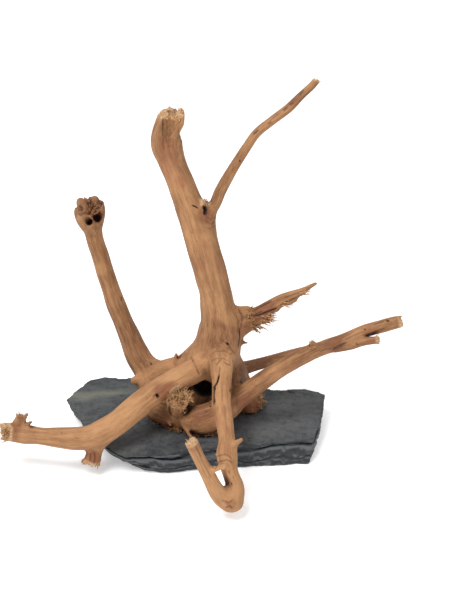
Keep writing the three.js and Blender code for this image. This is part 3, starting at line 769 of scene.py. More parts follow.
# %% [markdown]
# ## The wood's own coordinates
# Grain runs along a limb and bends with it. For each point of the skin, and each limb close to it, this
# works out the distance from that limb's skin and the place in its straightened coordinates. A face
# then keeps its two nearest limbs, and a share between them, so the grain of one limb fades into that of the
# next across the web of a fork. The share is the same seen from both sides, so no edge shows.

# %% Places in the limbs' straightened wood
NEAR = 7.0  # limbs further off than this don't count
FADE = 5.0  # the width over which one grain turns into the next
names = list(curves)


def along_limbs(points):
    """For each point and limb: the distance from the limb's skin, and the place in its straightened wood."""
    gap = np.full((len(points), len(names)), FAR)
    place = np.zeros((len(points), len(names), 3))
    for number, name in enumerate(names):
        curve = curves[name]
        stations = curve["stations"]
        margin = stations[:, 3].max() + NEAR
        low, high = stations[:, :3].min(0) - margin, stations[:, :3].max(0) + margin
        close = np.flatnonzero(((points > low) & (points < high)).all(1))
        starts, steps = stations[:-1], np.diff(stations, axis=0)
        lengths = np.linalg.norm(steps[:, :3], axis=1)
        for some in np.array_split(close, len(close) // 8000 + 1):
            away = points[some][:, None] - starts[None, :, :3]
            share = (away * steps[:, :3]).sum(2) / lengths**2
            held = np.clip(share, 0, 1)
            off = away - held[..., None] * steps[:, :3]
            apart = np.linalg.norm(off, axis=2) - starts[:, 3] - held * steps[:, 3]
            best = apart.argmin(1)
            row = np.arange(len(some))
            t = held[row, best][:, None]
            side = curve["side"][best] * (1 - t) + curve["side"][best + 1] * t
            other = curve["other"][best] * (1 - t) + curve["other"][best + 1] * t
            off = points[some] - starts[best, :3] - t * steps[best, :3]
            gap[some, number] = apart[row, best]
            ends = np.where((best == 0) | (best == len(starts) - 1), share[row, best], t[:, 0])
            place[some, number, 0] = curve["along"][best] + ends * lengths[best]
            place[some, number, 1] = (off * side).sum(1)
            place[some, number, 2] = (off * other).sum(1)
    return gap, place


def nearest_two(gap):
    """The two limbs nearest to each row, nearest first."""
    two = np.argpartition(gap, 1, axis=1)[:, :2]
    row = np.arange(len(gap))[:, None]
    return np.take_along_axis(two, gap[row, two].argsort(1), 1)


def share_between(gap, two):
    """How much of the second limb each point takes: a half where both are as near, and none where it is far."""
    row = np.arange(len(gap))
    return ramp(0.5 - 0.5 * (gap[row, two[:, 1]] - gap[row, two[:, 0]]) / FADE, 0, 1)


def per_limb(gap, values):
    """A number that belongs to each limb, blended where limbs meet."""
    two = nearest_two(gap)
    share = share_between(gap, two)
    values = np.array(values)
    return values[two[:, 0]] * (1 - share) + values[two[:, 1]] * share


def grown(gap, place, shape):
    """A relief that follows the wood. shape turns straightened places, and the limb's number, into a height."""
    two = nearest_two(gap)
    share = share_between(gap, two)
    row = np.arange(len(gap))
    first, second = (shape(place[row, two[:, n]], two[:, n]) for n in (0, 1))
    return first * (1 - share) + second * share


# %% [markdown]
# ## The relief of the wood
# Sand-blasted root is never round. Long flutes run with the grain, knuckles swell across it, and fine
# furrows lie between them. The skin is moved along its normals by those, in the limbs' own coordinates.

# %% Move the skin
FLUTES, KNUCKLES, FURROWS = 0.55, 0.4, 0.22  # heights in millimetres
USUAL_RADIUS = 7.0  # thinner limbs have less relief
PRESSED_WIDTH, STAIN_AND_SHADE_WIDTH = 0.6, 0.75  # of a mark's width


def wood_relief(place, limb):
    """Flutes, knuckles and furrows, in millimetres."""
    shifted = place + limb[:, None] * (53.0, 17.0, 29.0)
    flutes = noise(shifted / (34, 5.5, 5.5), 1)
    knuckles = noise(shifted / (11, 9, 9), 2)
    furrows = noise(shifted / (9, 1.9, 1.9), 3)
    return FLUTES * flutes + KNUCKLES * knuckles + FURROWS * furrows


gap, place = along_limbs(skin_points)
thickness = np.array([c["stations"][:, 3].mean() for c in curves.values()])
room = np.clip(per_limb(gap, thickness) / USUAL_RADIUS, 0.3, 1.15)
skin_normals = normals_of(skin_points, skin_faces)
seated = (skin_points[:, 2] < WOOD_SEAT + 0.6) & (skin_points[:, 1] > SLATE_EDGE_Y)
height = grown(gap, place, wood_relief) * room * ~seated
# This holds each mark's darkness: partly a dark stain in the crack, partly painted shade in its groove.
crack_stain_and_shade = np.zeros(len(skin_points))
for (width, deep, dark, pixels), some, off in sight_of(MARKS, skin_points, skin_normals):
    pressed = np.exp(-((off / (width * PRESSED_WIDTH)) ** 2))
    height[some] -= deep * pressed
    crack_stain_and_shade[some] = np.maximum(crack_stain_and_shade[some], dark * np.exp(-((off / (width * STAIN_AND_SHADE_WIDTH)) ** 2)))
skin_points = skin_points + skin_normals * height[:, None]
over_slate = skin_points[:, 1] > SLATE_EDGE_Y
skin_points[over_slate, 2] = np.maximum(skin_points[over_slate, 2], WOOD_SEAT)
print("relief from %.2f to %.2f mm" % (height.min(), height.max()))

# %% [markdown]
# ## What the finish needs to know
# Hollows of wood are painted darker, as painted shade for the light that doesn't reach into them. How closed in a
# place is can be read from the distance field, by walking out along the normal and comparing the
# field with the distance walked. The same field says where wood comes near the stone, and that wood is painted darker
# too, as painted shade.

# %% Read the field, and find the closed-in places
SLATE_GAP = 0.2  # between the wood's foot and the slate's top


def field_at(points):
    """The distance field between its grid places."""
    at = np.clip((points - ORIGIN) / GRID_STEP, 0, np.array(field.shape) - 1.001)
    cell = at.astype(int)
    part = at - cell
    total = 0.0
    for corner in CUBE:
        share = np.prod(np.where(corner, part, 1 - part), axis=1)
        total = total + share * field[tuple((cell + corner).T)]
    return total


def closed_in(points, normals, steps=(1.5, 3.0, 6.0, 9.0)):
    """0 on an open surface and towards 1 in a crevice."""
    shut = 0.0
    for step in steps:
        out = points + normals * step
        above_slate = np.maximum(out[:, 2] - WOOD_SEAT + SLATE_GAP, 0)
        free = np.minimum(field_at(out), above_slate + FAR * (out[:, 1] < SLATE_EDGE_Y))
        shut = shut + np.clip(1 - free / step, 0, 1)
    return shut / len(steps)


# in_cave marks the skin inside the rotted hollow. The finish paints it nearly black, as painted shade.
in_cave = np.zeros(len(skin_points))
for line in CAVE:
    for a, b in itertools.pairwise(np.array(line, float)):
        step, wider = (b - a)[:3], (b - a)[3]
        share = np.clip(((skin_points - a[:3]) @ step) / (step @ step), 0, 1)
        off = np.linalg.norm(skin_points - a[:3] - share[:, None] * step, axis=1) - a[3] - share * wider
        in_cave = np.maximum(in_cave, ramp(off, 1.6, 0.2))
skin_normals = normals_of(skin_points, skin_faces)
hollow = closed_in(skin_points, skin_normals)
print("closed in: middle %.2f, most %.2f" % (np.median(hollow), hollow.max()))

# %% [markdown]
# Some places are browner, paler or pinker than the rest, where bark came off late or light wood was
# worn bare. The dark patches under the front limb's edge, on the bulb and at the root's foot are painted
# shade instead. Each is a soft round patch on the side that the photograph shows.

# %% Stained places
STAINS_AND_SHADE = (  # pixel, radius in pixels, change of tone, redness
    ((222, 338), 22, -0.45, 0.05), ((168, 390), 13, -0.5, 0.5), ((205, 417), 18, -0.45, 0.1),
    ((160, 424), 16, -0.7, 0.2), ((180, 181), 11, 0.1, 0.4), ((196, 364), 9, 0.35, 0.3),
    ((176, 362), 14, 0.5, 0.15), ((229, 488), 15, 0.4, 0.0), ((224, 398), 13, 0.25, 0.1),
    ((92, 208), 19, -1.2, 0.25), ((170, 130), 18, -0.25, 0.0), ((230, 505), 8, -0.1, 0.35),
    ((214, 270), 20, 0.2, 0.1), ((204, 216), 12, -0.3, 0.3), ((248, 405), 14, -0.3, 0.4),
    ((243, 330), 9, -0.1, 0.35), ((94, 458), 9, -0.4, 0.5), ((140, 375), 12, 0.3, 0.1),
    ((10, 430), 14, -0.3, 0.25), ((335, 346), 12, -0.4, 0.2), ((262, 312), 16, -0.35, 0.3),
    ((300, 100), 16, -0.3, 0.1), ((100, 268), 9, 0.3, 0.0), ((255, 370), 16, -0.4, 0.1),
)
pixels = seen_at(skin_points)[0]
sight = (CAMERA_AT - skin_points) / np.linalg.norm(CAMERA_AT - skin_points, axis=1)[:, None]
shown = ramp((sight * skin_normals).sum(1), -0.15, 0.35)
tone_and_shade, ruddy = np.zeros(len(skin_points)), np.zeros(len(skin_points))
uneven = 1 + 0.35 * noise(skin_points / 6.0, 61, 2)
for centre, radius, change, redness in STAINS_AND_SHADE:
    share = ramp(np.linalg.norm(pixels - centre, axis=1) * uneven, radius, radius * 0.35) * shown
    tone_and_shade += change * share
    ruddy = np.maximum(ruddy, redness * share)
ruddy = np.maximum(ruddy, 0.35 * ramp(noise(skin_points / 17.0, 62, 2), 0.35, 0.8))
print(len(STAINS_AND_SHADE), "stained places")

# %% [markdown]
# Torn wood is paler than weathered wood. A point is torn where it lies on one of the breaks.

# %% Find the torn faces
ROTTED_PALENESS = 0.15  # the knob of the left-back limb broke long ago, so it is dark
torn = np.zeros(len(skin_points))
for number, name in enumerate(names):
    if name in BREAKS:
        point, facing, height = BREAKS[name]
        way = np.array(facing) / np.linalg.norm(facing)
        mine = gap[:, number] < gap.min(1) + 0.5
        above = (skin_points - point) @ way
        pale = ROTTED_PALENESS if name == "left_back" else 1.0
        torn = np.maximum(torn, pale * mine * ramp(above, -height - 0.6, -height + 0.8))
print("torn points:", int((torn > 0.5).sum()))

# %% [markdown]
# ## The finish of the root
# The wood is a peeled azalea-like root: hard, fine-grained and tan, with a dry, matt surface from
# sand-blasting. Fibre bundles are 0.3 to 1 mm wide and many times as long, so both grain patterns are
# stretched along the limb. Broader stains lie over them. Pale torn ends and reddish inner wood come from the
# values kept on the mesh. So does painted shade: hollows and wood near the stone are darkened, and the
# deepest crevices, the cave and the cracks are painted nearly black.

# %% Peeled root wood
GRAIN_MM = 0.55  # the width of a fibre bundle
STREAK_MM = 2.6  # the width of a streak of colour
SPOT_MM = 1.5  # the width of a dark spot
STAIN_MM = 28  # the width of a broad stain
FIBRE_STRETCH, STREAK_STRETCH, SPOT_STRETCH = 14.0, 9.0, 1.6  # how much longer than wide they are


def cloudy(tree, where, scale, detail, roughness=0.5):
    """Noise from 0 to 1 at these places."""
    inputs = {"Vector": where, "Scale": scale, "Detail": detail, "Roughness": roughness}
    return put(tree, "ShaderNodeTexNoise", inputs).outputs["Fac"]


def maths(tree, operation, first, second=0.0):
    """One operation on two values."""
    return put(tree, "ShaderNodeMath", {0: first, 1: second}, operation=operation).outputs[0]


def raised(tree, pattern, strength, distance, under=None):
    """A bump of this pattern, its height in mm, over another bump."""
    inputs = {"Height": pattern, "Strength": strength, "Distance": distance * MM}
    if under is not None:
        inputs["Normal"] = under
    return put(tree, "ShaderNodeBump", inputs).outputs[0]


def grain(tree, width, stretch, detail, seed):
    """Noise along the grain of both limbs, mixed by the share between them."""
    both = []
    for name in ("grain_a", "grain_b"):
        where = put(tree, "ShaderNodeAttribute", attribute_name=name).outputs["Vector"]
        scale = (1 / (width * stretch), 1 / width, 1 / width)
        shift = (seed, seed * 2.3, seed * 0.7)
        spread = put(tree, "ShaderNodeMapping", {"Vector": where, "Scale": scale, "Location": shift})
        both.append(cloudy(tree, spread.outputs[0], 1.0, detail, 0.55))
    share = put(tree, "ShaderNodeAttribute", attribute_name="grain_mix").outputs["Fac"]
    return put(tree, "ShaderNodeMix", {0: share, 2: both[0], 3: both[1]}).outputs[0]


def between(tree, value, low, high, start=0.0, end=1.0):
    """value from low to high, spread over start to end."""
    inputs = {"Value": value, "From Min": low, "From Max": high, "To Min": start, "To Max": end}
    return put(tree, "ShaderNodeMapRange", inputs).outputs[0]


def mixed(tree, share, first, second, blend="MIX"):
    """Two colours mixed. Each is a hex value or another node's output."""
    pick = {0: share}
    for number, shade in ((6, first), (7, second)):
        pick[number] = colour(shade) if isinstance(shade, str) else shade
    return put(tree, "ShaderNodeMix", pick, data_type="RGBA", blend_type=blend).outputs[2]


def held(tree, name):
    """A value kept on the mesh."""
    return put(tree, "ShaderNodeAttribute", attribute_name=name).outputs["Fac"]


wood, tree, shader = blank_material("peeled_root_wood")
streaks = grain(tree, STREAK_MM, STREAK_STRETCH, 4.0, 3.0)
fibres = grain(tree, GRAIN_MM, FIBRE_STRETCH, 3.0, 11.0)
spots = grain(tree, SPOT_MM, SPOT_STRETCH, 2.0, 23.0)
place_on = put(tree, "ShaderNodeTexCoord").outputs["Object"]
stains = cloudy(tree, place_on, 1 / (STAIN_MM * MM), 5.0, 0.6)
paleness = maths(tree, "ADD", held(tree, "tone"), between(tree, stains, 0.3, 0.7, -0.4, 0.4))
paleness = maths(tree, "ADD", paleness, between(tree, streaks, 0.35, 0.65, -0.28, 0.28))
skin_colour = mixed(tree, between(tree, paleness, 0.0, 1.0), "744C2E", "B3845A")
skin_colour = mixed(tree, between(tree, fibres, 0.52, 0.75, 0.0, 0.35), skin_colour, "6A452E")
skin_colour = mixed(tree, between(tree, fibres, 0.48, 0.3, 0.0, 0.35), skin_colour, "C09468")
skin_colour = mixed(tree, between(tree, spots, 0.68, 0.76, 0.0, 0.6), skin_colour, "543623")
skin_colour = mixed(tree, held(tree, "ruddy"), skin_colour, "8A4F38")
torn_colour = mixed(tree, between(tree, fibres, 0.35, 0.65), "946A48", "CDAE88")
skin_colour = mixed(tree, held(tree, "torn"), skin_colour, torn_colour)
# Crevices, and wood close to the stone, are darkened here: painted shade.
skin_colour = mixed(tree, held(tree, "hollow"), skin_colour, "6A452C", "MULTIPLY")
# The deepest crevices, the cave and the cracks are painted nearly black: painted shade, with a dark stain along the
# cracks.
skin_colour = mixed(tree, held(tree, "crack_stain_and_painted_shade"), skin_colour, "1E1410")
tree.links.new(skin_colour, shader.inputs["Base Color"])
shader.inputs["Roughness"].default_value = 0.68
shader.inputs["Specular IOR Level"].default_value = 0.32
rise = raised(tree, fibres, 0.55, 0.35)
rise = raised(tree, streaks, 0.5, 0.9, rise)
rise = raised(tree, between(tree, spots, 0.6, 0.74, 1.0, 0.0), 0.5, 0.4, rise)
tree.links.new(rise, shader.inputs["Normal"])
print("wood finish with", len(tree.nodes), "nodes")

# %% [markdown]
# The skin becomes one mesh. It replaces all eleven solids of wood, because the real root has no joints.

# %% Make the root
LIMB_SHIFT = 40.0  # moves each limb's grain on, so that no two limbs have the same
WOOD_NODES = [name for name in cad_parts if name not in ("slate_base", "fixing_screw")]


def piece(name, points, faces, material):
    """A smooth mesh object at the origin, in metres, with its finish."""
    mesh = bpy.data.meshes.new(name)
    faces = faces.tolist() if isinstance(faces, np.ndarray) else faces
    mesh.from_pydata((np.asarray(points) * MM).tolist(), [], faces)
    mesh.shade_smooth()
    mesh.materials.append(material)
    made = bpy.data.objects.new(name, mesh)
    bpy.context.scene.collection.objects.link(made)
    return made


def keep(mesh, name, values, kind="FLOAT", domain="POINT"):
    """Keeps one value per point or corner on the mesh, for the finish to read."""
    layer = mesh.attributes.new(name, kind, domain)
    values = np.ascontiguousarray(values, np.float32).ravel()
    layer.data.foreach_set("value" if kind == "FLOAT" else "vector", values)


def keep_grain(mesh, gap, place, faces):
    """Keeps the straightened places of each face's two nearest limbs on its corners."""
    corner_points = np.concatenate(faces)
    sizes = np.array([len(face) for face in faces])
    starts = np.concatenate(((0,), np.cumsum(sizes)[:-1]))
    face_gap = np.add.reduceat(gap[corner_points], starts, axis=0) / sizes[:, None]
    two = np.repeat(nearest_two(face_gap), sizes, axis=0)
    share = share_between(gap[corner_points], two)
    for name, which in (("grain_a", 0), ("grain_b", 1)):
        limb = two[:, which]
        keep(mesh, name, place[corner_points, limb] + limb[:, None] * LIMB_SHIFT, "FLOAT_VECTOR", "CORNER")
    keep(mesh, "grain_mix", share, "FLOAT", "CORNER")


root = piece("driftwood_root", skin_points, skin_faces, wood)
keep_grain(root.data, gap, place, skin_faces)
# The tone takes in the round patches above, and some of their dark ones are painted shade.
keep(root.data, "tone", per_limb(gap, [tone for points, web, tone in LIMBS.values()]) + tone_and_shade)
# How closed in each place is, kept for the painted shade of crevices and of wood near the stone.
keep(root.data, "hollow", ramp(hollow, 0.22, 0.8))
keep(root.data, "torn", torn)
keep(root.data, "ruddy", ruddy)
# This value is painted shade in the deepest crevices and the cave, and along the cracks it is painted shade with a
# dark stain.
keep(root.data, "crack_stain_and_painted_shade", np.maximum.reduce((ramp(hollow, 0.78, 0.95), crack_stain_and_shade, in_cave)))
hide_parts(*WOOD_NODES)
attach(root, BODY)
print("the root has", triangles, "triangles")

# %% [markdown]
# ## Torn fibres
# Where a limb was broken, its fibres stand out as pale, curly splinters. They repeat by the hundred, so a
# Geometry Nodes tree makes them: it sets a thin curve on each point, bends it, and sweeps a small
# tapering section along it. Each tuft below is only a place, a direction and a few sizes.

# %% A tree that grows a fibre from each point
fibre_paint, tree, shader = blank_material("torn_root_fibre")
TINT_MM = 1.2
tint = cloudy(tree, put(tree, "ShaderNodeTexCoord").outputs["Object"], 1 / (TINT_MM * MM), 2.0)
dark_fibre = mixed(tree, between(tree, tint, 0.35, 0.65), "6A4228", "9A683F")
pale_fibre = mixed(tree, between(tree, tint, 0.35, 0.65), "B9824F", "E8C493")
tree.links.new(mixed(tree, held(tree, "pale"), dark_fibre, pale_fibre), shader.inputs["Base Color"])
shader.inputs["Roughness"].default_value = 0.75
shader.inputs["Specular IOR Level"].default_value = 0.25

FIBRE_BENDS = 8
growing = bpy.data.node_groups.new("grow_fibres", "GeometryNodeTree")
growing.interface.new_socket("Geometry", in_out="OUTPUT", socket_type="NodeSocketGeometry")
GIVEN = {"Roots": "Geometry", "Sides": "Int", "Curl size": "Float", "Seed": "Float", "Finish": "Material"}
for label, kind in GIVEN.items():
    growing.interface.new_socket(label, in_out="INPUT", socket_type="NodeSocket" + kind)
sizes = put(growing, "NodeGroupInput").outputs


def named(label, kind="FLOAT"):
    """A value kept on each point."""
    node = put(growing, "GeometryNodeInputNamedAttribute", {"Name": label}, data_type=kind)
    return next(socket for socket in node.outputs if socket.enabled and socket.name == "Attribute")


line = put(growing, "GeometryNodeCurvePrimitiveLine", {"End": (0, 0, 1)})
line = put(growing, "GeometryNodeResampleCurve", {"Curve": line.outputs[0], "Count": FIBRE_BENDS})
turn = put(growing, "FunctionNodeAlignRotationToVector", {"Vector": named("lay", "FLOAT_VECTOR")})
grown_lines = put(growing, "GeometryNodeInstanceOnPoints", {
    "Points": sizes["Roots"], "Instance": line.outputs[0],
    "Rotation": turn.outputs[0], "Scale": named("reach"),
})
grown_lines = put(growing, "GeometryNodeRealizeInstances", {0: grown_lines.outputs[0]})
along = put(growing, "GeometryNodeSplineParameter").outputs["Factor"]
where = put(growing, "GeometryNodeInputPosition").outputs[0]
where = put(growing, "ShaderNodeVectorMath", {0: where, "Scale": sizes["Curl size"]}, operation="SCALE")
swirl = {"Vector": where.outputs[0], "W": sizes["Seed"], "Detail": 1.0}
swirl = put(growing, "ShaderNodeTexNoise", swirl, noise_dimensions="4D")
swirl = put(growing, "ShaderNodeVectorMath", {0: swirl.outputs["Color"], 1: (0.5, 0.5, 0.5)}, operation="SUBTRACT")
amount = put(growing, "ShaderNodeMath", {0: along, 1: named("curl")}, operation="MULTIPLY")
swirl = put(growing, "ShaderNodeVectorMath", {0: swirl.outputs[0], "Scale": amount.outputs[0]}, operation="SCALE")
bent = put(growing, "GeometryNodeSetPosition", {"Geometry": grown_lines.outputs[0], "Offset": swirl.outputs[0]})
taper = put(growing, "ShaderNodeMapRange", {"Value": along, "To Min": 1.0, "To Max": 0.25})
width = put(growing, "ShaderNodeMath", {0: taper.outputs[0], 1: named("thick")}, operation="MULTIPLY")
section = put(growing, "GeometryNodeCurvePrimitiveCircle", {"Resolution": sizes["Sides"], "Radius": 1.0})
swept = put(growing, "GeometryNodeCurveToMesh", {
    "Curve": bent.outputs[0], "Profile Curve": section.outputs[0],
    "Scale": width.outputs[0], "Fill Caps": True,
})
swept = put(growing, "GeometryNodeRealizeInstances", {0: swept.outputs[0]})
swept = put(growing, "GeometryNodeSetMaterial", {"Geometry": swept.outputs[0], "Material": sizes["Finish"]})
growing.links.new(swept.outputs[0], put(growing, "NodeGroupOutput").inputs[0])

# %% [markdown]
# Each tuft is a disc of root points just under the wood, so that no fibre starts in the air. The fibres
# fan out from the tuft's direction, and their lengths vary by half.

# %% Plant the tufts
TUFTS = (  # place, radius, direction, fan, count, length, thickness, curl, paleness
    ((-109.5, -46.5, 25), 4.6, (-1, -0.1, 0.15), 0.55, 150, 7, 0.36, 7, 0.6),
    ((-103.6, -47.5, 35), 2.0, (-0.1, -0.1, 1), 0.45, 40, 5, 0.32, 5, 0.45),
    ((-100, -48, 36), 1.0, (0.3, -0.1, 1), 0.3, 14, 4, 0.25, 4, 0.4),
    ((-10.8, -31.6, 38.6), 5.2, (0.05, -0.6, 0.8), 0.9, 260, 6.5, 0.4, 13, 0.75),
    ((-61, -53.6, 9.5), 4.2, (-0.3, -0.2, -0.9), 0.5, 70, 3.6, 0.36, 4, 0.3),
    ((-65.5, -54.3, 9.9), 1.4, (-1, -0.1, -0.2), 0.5, 24, 3.4, 0.3, 4, 0.4),
    ((-1, -104.1, 52.6), 2.9, (-0.3, -0.2, 0.9), 0.5, 60, 2.6, 0.3, 3, 0.9),
    ((34, -6.5, 79.5), 6.0, (0.55, -0.6, 0.35), 0.6, 150, 8, 0.4, 7, 0.5),
    ((40, -8, 82), 4.0, (0.9, -0.3, 0.15), 0.35, 70, 9, 0.42, 5, 0.6),
    ((52, -9, 92), 2.6, (0.95, -0.2, 0.1), 0.35, 46, 7, 0.34, 4, 0.55),
    ((62, -10, 98.6), 1.4, (0.9, -0.2, 0.25), 0.3, 26, 7, 0.28, 3, 0.5),
    ((26, -4, 84), 3.0, (-0.3, 0, 1), 0.6, 26, 4, 0.3, 4, 0.7),
    ((122, -1.8, 75.6), 3.3, (1, 0.05, 0.15), 0.45, 90, 3.2, 0.32, 3, 0.6),
    ((107.6, -13.4, 69.1), 2.0, (1, -0.1, 0.1), 0.5, 46, 3.6, 0.3, 3, 0.7),
    ((69, -12.5, 65), 2.0, (0.2, -0.3, 0.9), 0.9, 60, 3.6, 0.3, 5, 0.6),
    ((70.4, 29.6, 216), 2.0, (0.5, 0.2, 0.9), 0.5, 34, 2.2, 0.26, 2, 0.6),
    ((-13, 1.5, 204), 6.6, (0.15, 0, 1), 0.35, 90, 2.6, 0.3, 2, 0.95),
    ((-7.6, 1.5, 206), 1.4, (0.1, 0, 1), 0.3, 18, 3, 0.3, 2, 0.95),
    ((5.2, -3.2, 152.5), 2.0, (0.1, -0.3, 1), 0.6, 40, 3, 0.3, 4, 0.35),
    ((17, -105, 38.1), 1.1, (1, -0.2, 0.5), 0.3, 20, 1.6, 0.25, 1, 0.95),
    ((-65.5, 31, 136.5), 6.5, (0, -0.4, 1), 0.7, 120, 2.6, 0.4, 4, 0.12),
    ((-38, 6.2, 31), 2.2, (-1, -0.3, 0.1), 0.6, 30, 2.6, 0.3, 3, 0.95),
    ((-1, -43.6, 17), 1.4, (0.3, -1, -0.1), 0.7, 22, 2.4, 0.28, 3, 0.2),
    ((37, 1, 19), 3.0, (0.9, -0.4, -0.1), 0.7, 60, 6, 0.4, 6, 0.45),
    ((34, -4, 18), 3.0, (0.6, -0.8, 0), 0.7, 50, 5, 0.4, 6, 0.35),
    ((71.6, 41, 34.8), 2.2, (0.9, 0.4, 0), 0.4, 40, 2.4, 0.3, 2, 0.6),
)
# A fringe of short fibres runs along the front of the foot.
FRINGE = ((-34, -6), (-30, -15), (-22, -24), (-12, -31), (-2, -35), (8, -35.5), (16, -32), (22, -28))
FRINGE_COUNT = 260
FRINGE_HEIGHTS = (15.6, 18.0)
FRINGE_FIBRE = (3.0, 0.3, 3.0, 0.12)  # length, thickness, curl, paleness
FOOT_MIDDLE = (2, -4)
TUFT_DEPTH, FRINGE_DEPTH = 1.2, 1.5  # how far inside the wood the root points lie
FIBRE_SIDES, CURL_MM, SWIRL_SEED = 5, 5, 4.0

draw = np.random.default_rng(7)
planted = {name: [] for name in ("root", "lay", "reach", "thick", "curl", "pale")}


def plant(roots, ways, length, thick, curl, pale):
    """Adds fibres at these root points, leaning these ways."""
    vary = draw.uniform(0.5, 1.15, len(roots))
    widths = thick * draw.uniform(0.6, 1.2, len(roots)) * MM
    rows = zip(roots * MM, ways, length * vary * MM, widths, curl * vary * MM)
    for root_at, way, reach, wide, curling in rows:
        shade = np.clip(pale + draw.normal(0, 0.2), 0, 1)
        for name, value in zip(planted, (root_at, way, reach, wide, curling, shade)):
            planted[name].append(value)


for centre, radius, facing, fan, count, length, thick, curl, pale in TUFTS:
    way = np.array(facing) / np.linalg.norm(facing)
    scatter = draw.normal(0, 1, (count, 3))
    scatter /= np.linalg.norm(scatter, axis=1)[:, None]
    scatter *= radius * draw.uniform(0, 1, (count, 1)) ** 0.5
    scatter -= (scatter @ way)[:, None] * way * 0.8
    lean = way + scatter / radius * fan + draw.normal(0, 0.25 * fan, (count, 3))
    lean /= np.linalg.norm(lean, axis=1)[:, None]
    plant(np.array(centre) + scatter - way * TUFT_DEPTH, lean, length, thick, curl, pale)

foot = np.array(FRINGE, float)
at = draw.uniform(0, len(foot) - 1.001, FRINGE_COUNT)
part = (at % 1)[:, None]
flat = foot[at.astype(int)] * (1 - part) + foot[at.astype(int) + 1] * part
out = flat - FOOT_MIDDLE
out /= np.linalg.norm(out, axis=1)[:, None]
low = draw.uniform(*FRINGE_HEIGHTS, FRINGE_COUNT)
lean = np.column_stack((out + draw.normal(0, 0.5, out.shape), draw.uniform(-0.3, 0.25, FRINGE_COUNT)))
lean /= np.linalg.norm(lean, axis=1)[:, None]
plant(np.column_stack((flat - out * FRINGE_DEPTH, low)), lean, *FRINGE_FIBRE)

roots_mesh = bpy.data.meshes.new("fibre_roots")
roots_mesh.from_pydata([tuple(at) for at in planted["root"]], [], [])
for name in ("lay", "reach", "thick", "curl", "pale"):
    keep(roots_mesh, name, planted[name], "FLOAT_VECTOR" if name == "lay" else "FLOAT")
sower = bpy.data.objects.new("fibre_roots", roots_mesh)
bpy.context.scene.collection.objects.link(sower)
grower = sower.modifiers.new("grow_fibres", "NODES")
grower.node_group = growing
wanted = {"Sides": FIBRE_SIDES, "Curl size": 1 / (CURL_MM * MM), "Seed": SWIRL_SEED, "Finish": fibre_paint}
for socket in growing.interface.items_tree:
    if socket.name in wanted:
        grower[socket.identifier] = wanted[socket.name]
grown_mesh = bpy.data.meshes.new_from_object(sower.evaluated_get(bpy.context.evaluated_depsgraph_get()))
bpy.data.objects.remove(sower)
fibres_made = bpy.data.objects.new("torn_fibres", grown_mesh)
bpy.context.scene.collection.objects.link(fibres_made)
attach(fibres_made, BODY)
print(len(planted["root"]), "fibres of", len(grown_mesh.polygons), "faces")

# %% [markdown]
# ## The slab of slate
# Slate splits into flat beds, and a broken edge shows them as steps, lips and black crevices. A box with a
# bumpy finish would keep straight edges. So the slab is one closed sheet of rings: along the top
# from the screw hole to the rim, down the beds of the edge, back along the underside and up the hole.
# The outlines of top and foot are the same points as in the CAD source.

# %% The slate's outlines and beds
SLATE_THICK = 15.0
SLATE_TOP = [
    (-82.6, 11), (-79.5, 0), (-74.5, -7), (-70, -21), (-60, -38), (-51, -49), (-43, -56), (-34.5, -54.5),
    (-22, -54), (-9.6, -52.5), (10.4, -46.8), (25.8, -42.5), (49.7, -39), (70, -35.4), (74, -20),
    (77, 0), (79.6, 18.5), (68, 24.5), (53.5, 24.5), (40, 26), (18, 32), (-8, 37), (-30, 41),
    (-45, 40.4), (-63, 40.4), (-71, 37.4), (-78, 25),
]
SLATE_FOOT = [
    (-78, 12), (-74, 5), (-68, -6), (-62, -17), (-53, -31), (-43.5, -40), (-37, -45), (-30.5, -50),
    (-21, -53), (-8, -51), (10.5, -48.5), (26, -47), (49.5, -44.8), (67.5, -43), (72.5, -20),
    (75.5, -2), (78, 16), (67, 22), (53, 22), (40, 23.5), (18, 29), (-8, 34), (-30, 38),
    (-45, 38), (-61, 38), (-69, 35), (-75, 24),
]
BEDS = (  # bed and share of its thickness, how far out, how much of the crevice it takes, how rough
    (0.0, 0.0, 0, 0.5), (0.06, 0.3, 0, 0.7), (0.2, 0.5, 0, 0.9), (0.4, 0.4, 0, 1.0),
    (0.6, 0.35, 0, 1.0), (0.8, 0.2, 0, 1.0), (0.92, 0.0, 0.1, 1.0), (0.97, -0.1, 0.5, 1.0),
    (1.0, -0.1, 0.95, 0.8), (1.05, -0.1, 1.0, 0.8), (1.1, 0.0, 0.8, 0.9), (1.13, 0.4, 0.25, 1.0),
    (1.17, 0.8, 0, 1.0), (1.3, 1.0, 0, 1.1), (1.45, 0.9, 0, 1.2), (1.6, 0.8, 0, 1.2),
    (1.75, 0.8, 0, 1.2), (1.9, 0.6, 0, 1.2), (1.97, 0.4, 0.2, 1.2), (2.01, 0.2, 0.4, 1.2),
    (2.06, 0.3, 0.2, 1.2), (2.12, 0.6, 0, 1.2), (2.25, 0.6, 0, 1.2), (2.4, 0.4, 0, 1.2),
    (2.55, 0.2, 0, 1.1), (2.7, 0.0, 0, 1.0), (2.82, -0.4, 0, 0.9), (2.92, -0.9, 0, 0.8),
    (3.0, -1.7, 0, 0.6),
)
CREVICE_DEPTH = 3.0
BED_LEVELS = (15.0, 11.6, 5.6, 0.0)
SECOND_CREVICE = 0.45  # its depth, as a share of the first one's
COLUMNS = 640
TOP_RINGS, FOOT_RINGS = 38, 24
TOP_SHARE, FOOT_SHARE = 0.86, 0.97  # how far out from the hole they go
ROOT_MIDDLE, ROOT_SPREAD = (-2, -6), (36, 26)  # where the root stands
FLAKE_DEPTH = 0.7  # of the flakes missing along the rim
RIM_INSETS = (5.2, 3.8, 2.6, 1.7, 1.0, 0.45)  # of the last rings of the top, closer and closer
HOLE_AT = np.array((4.0, 10.0))
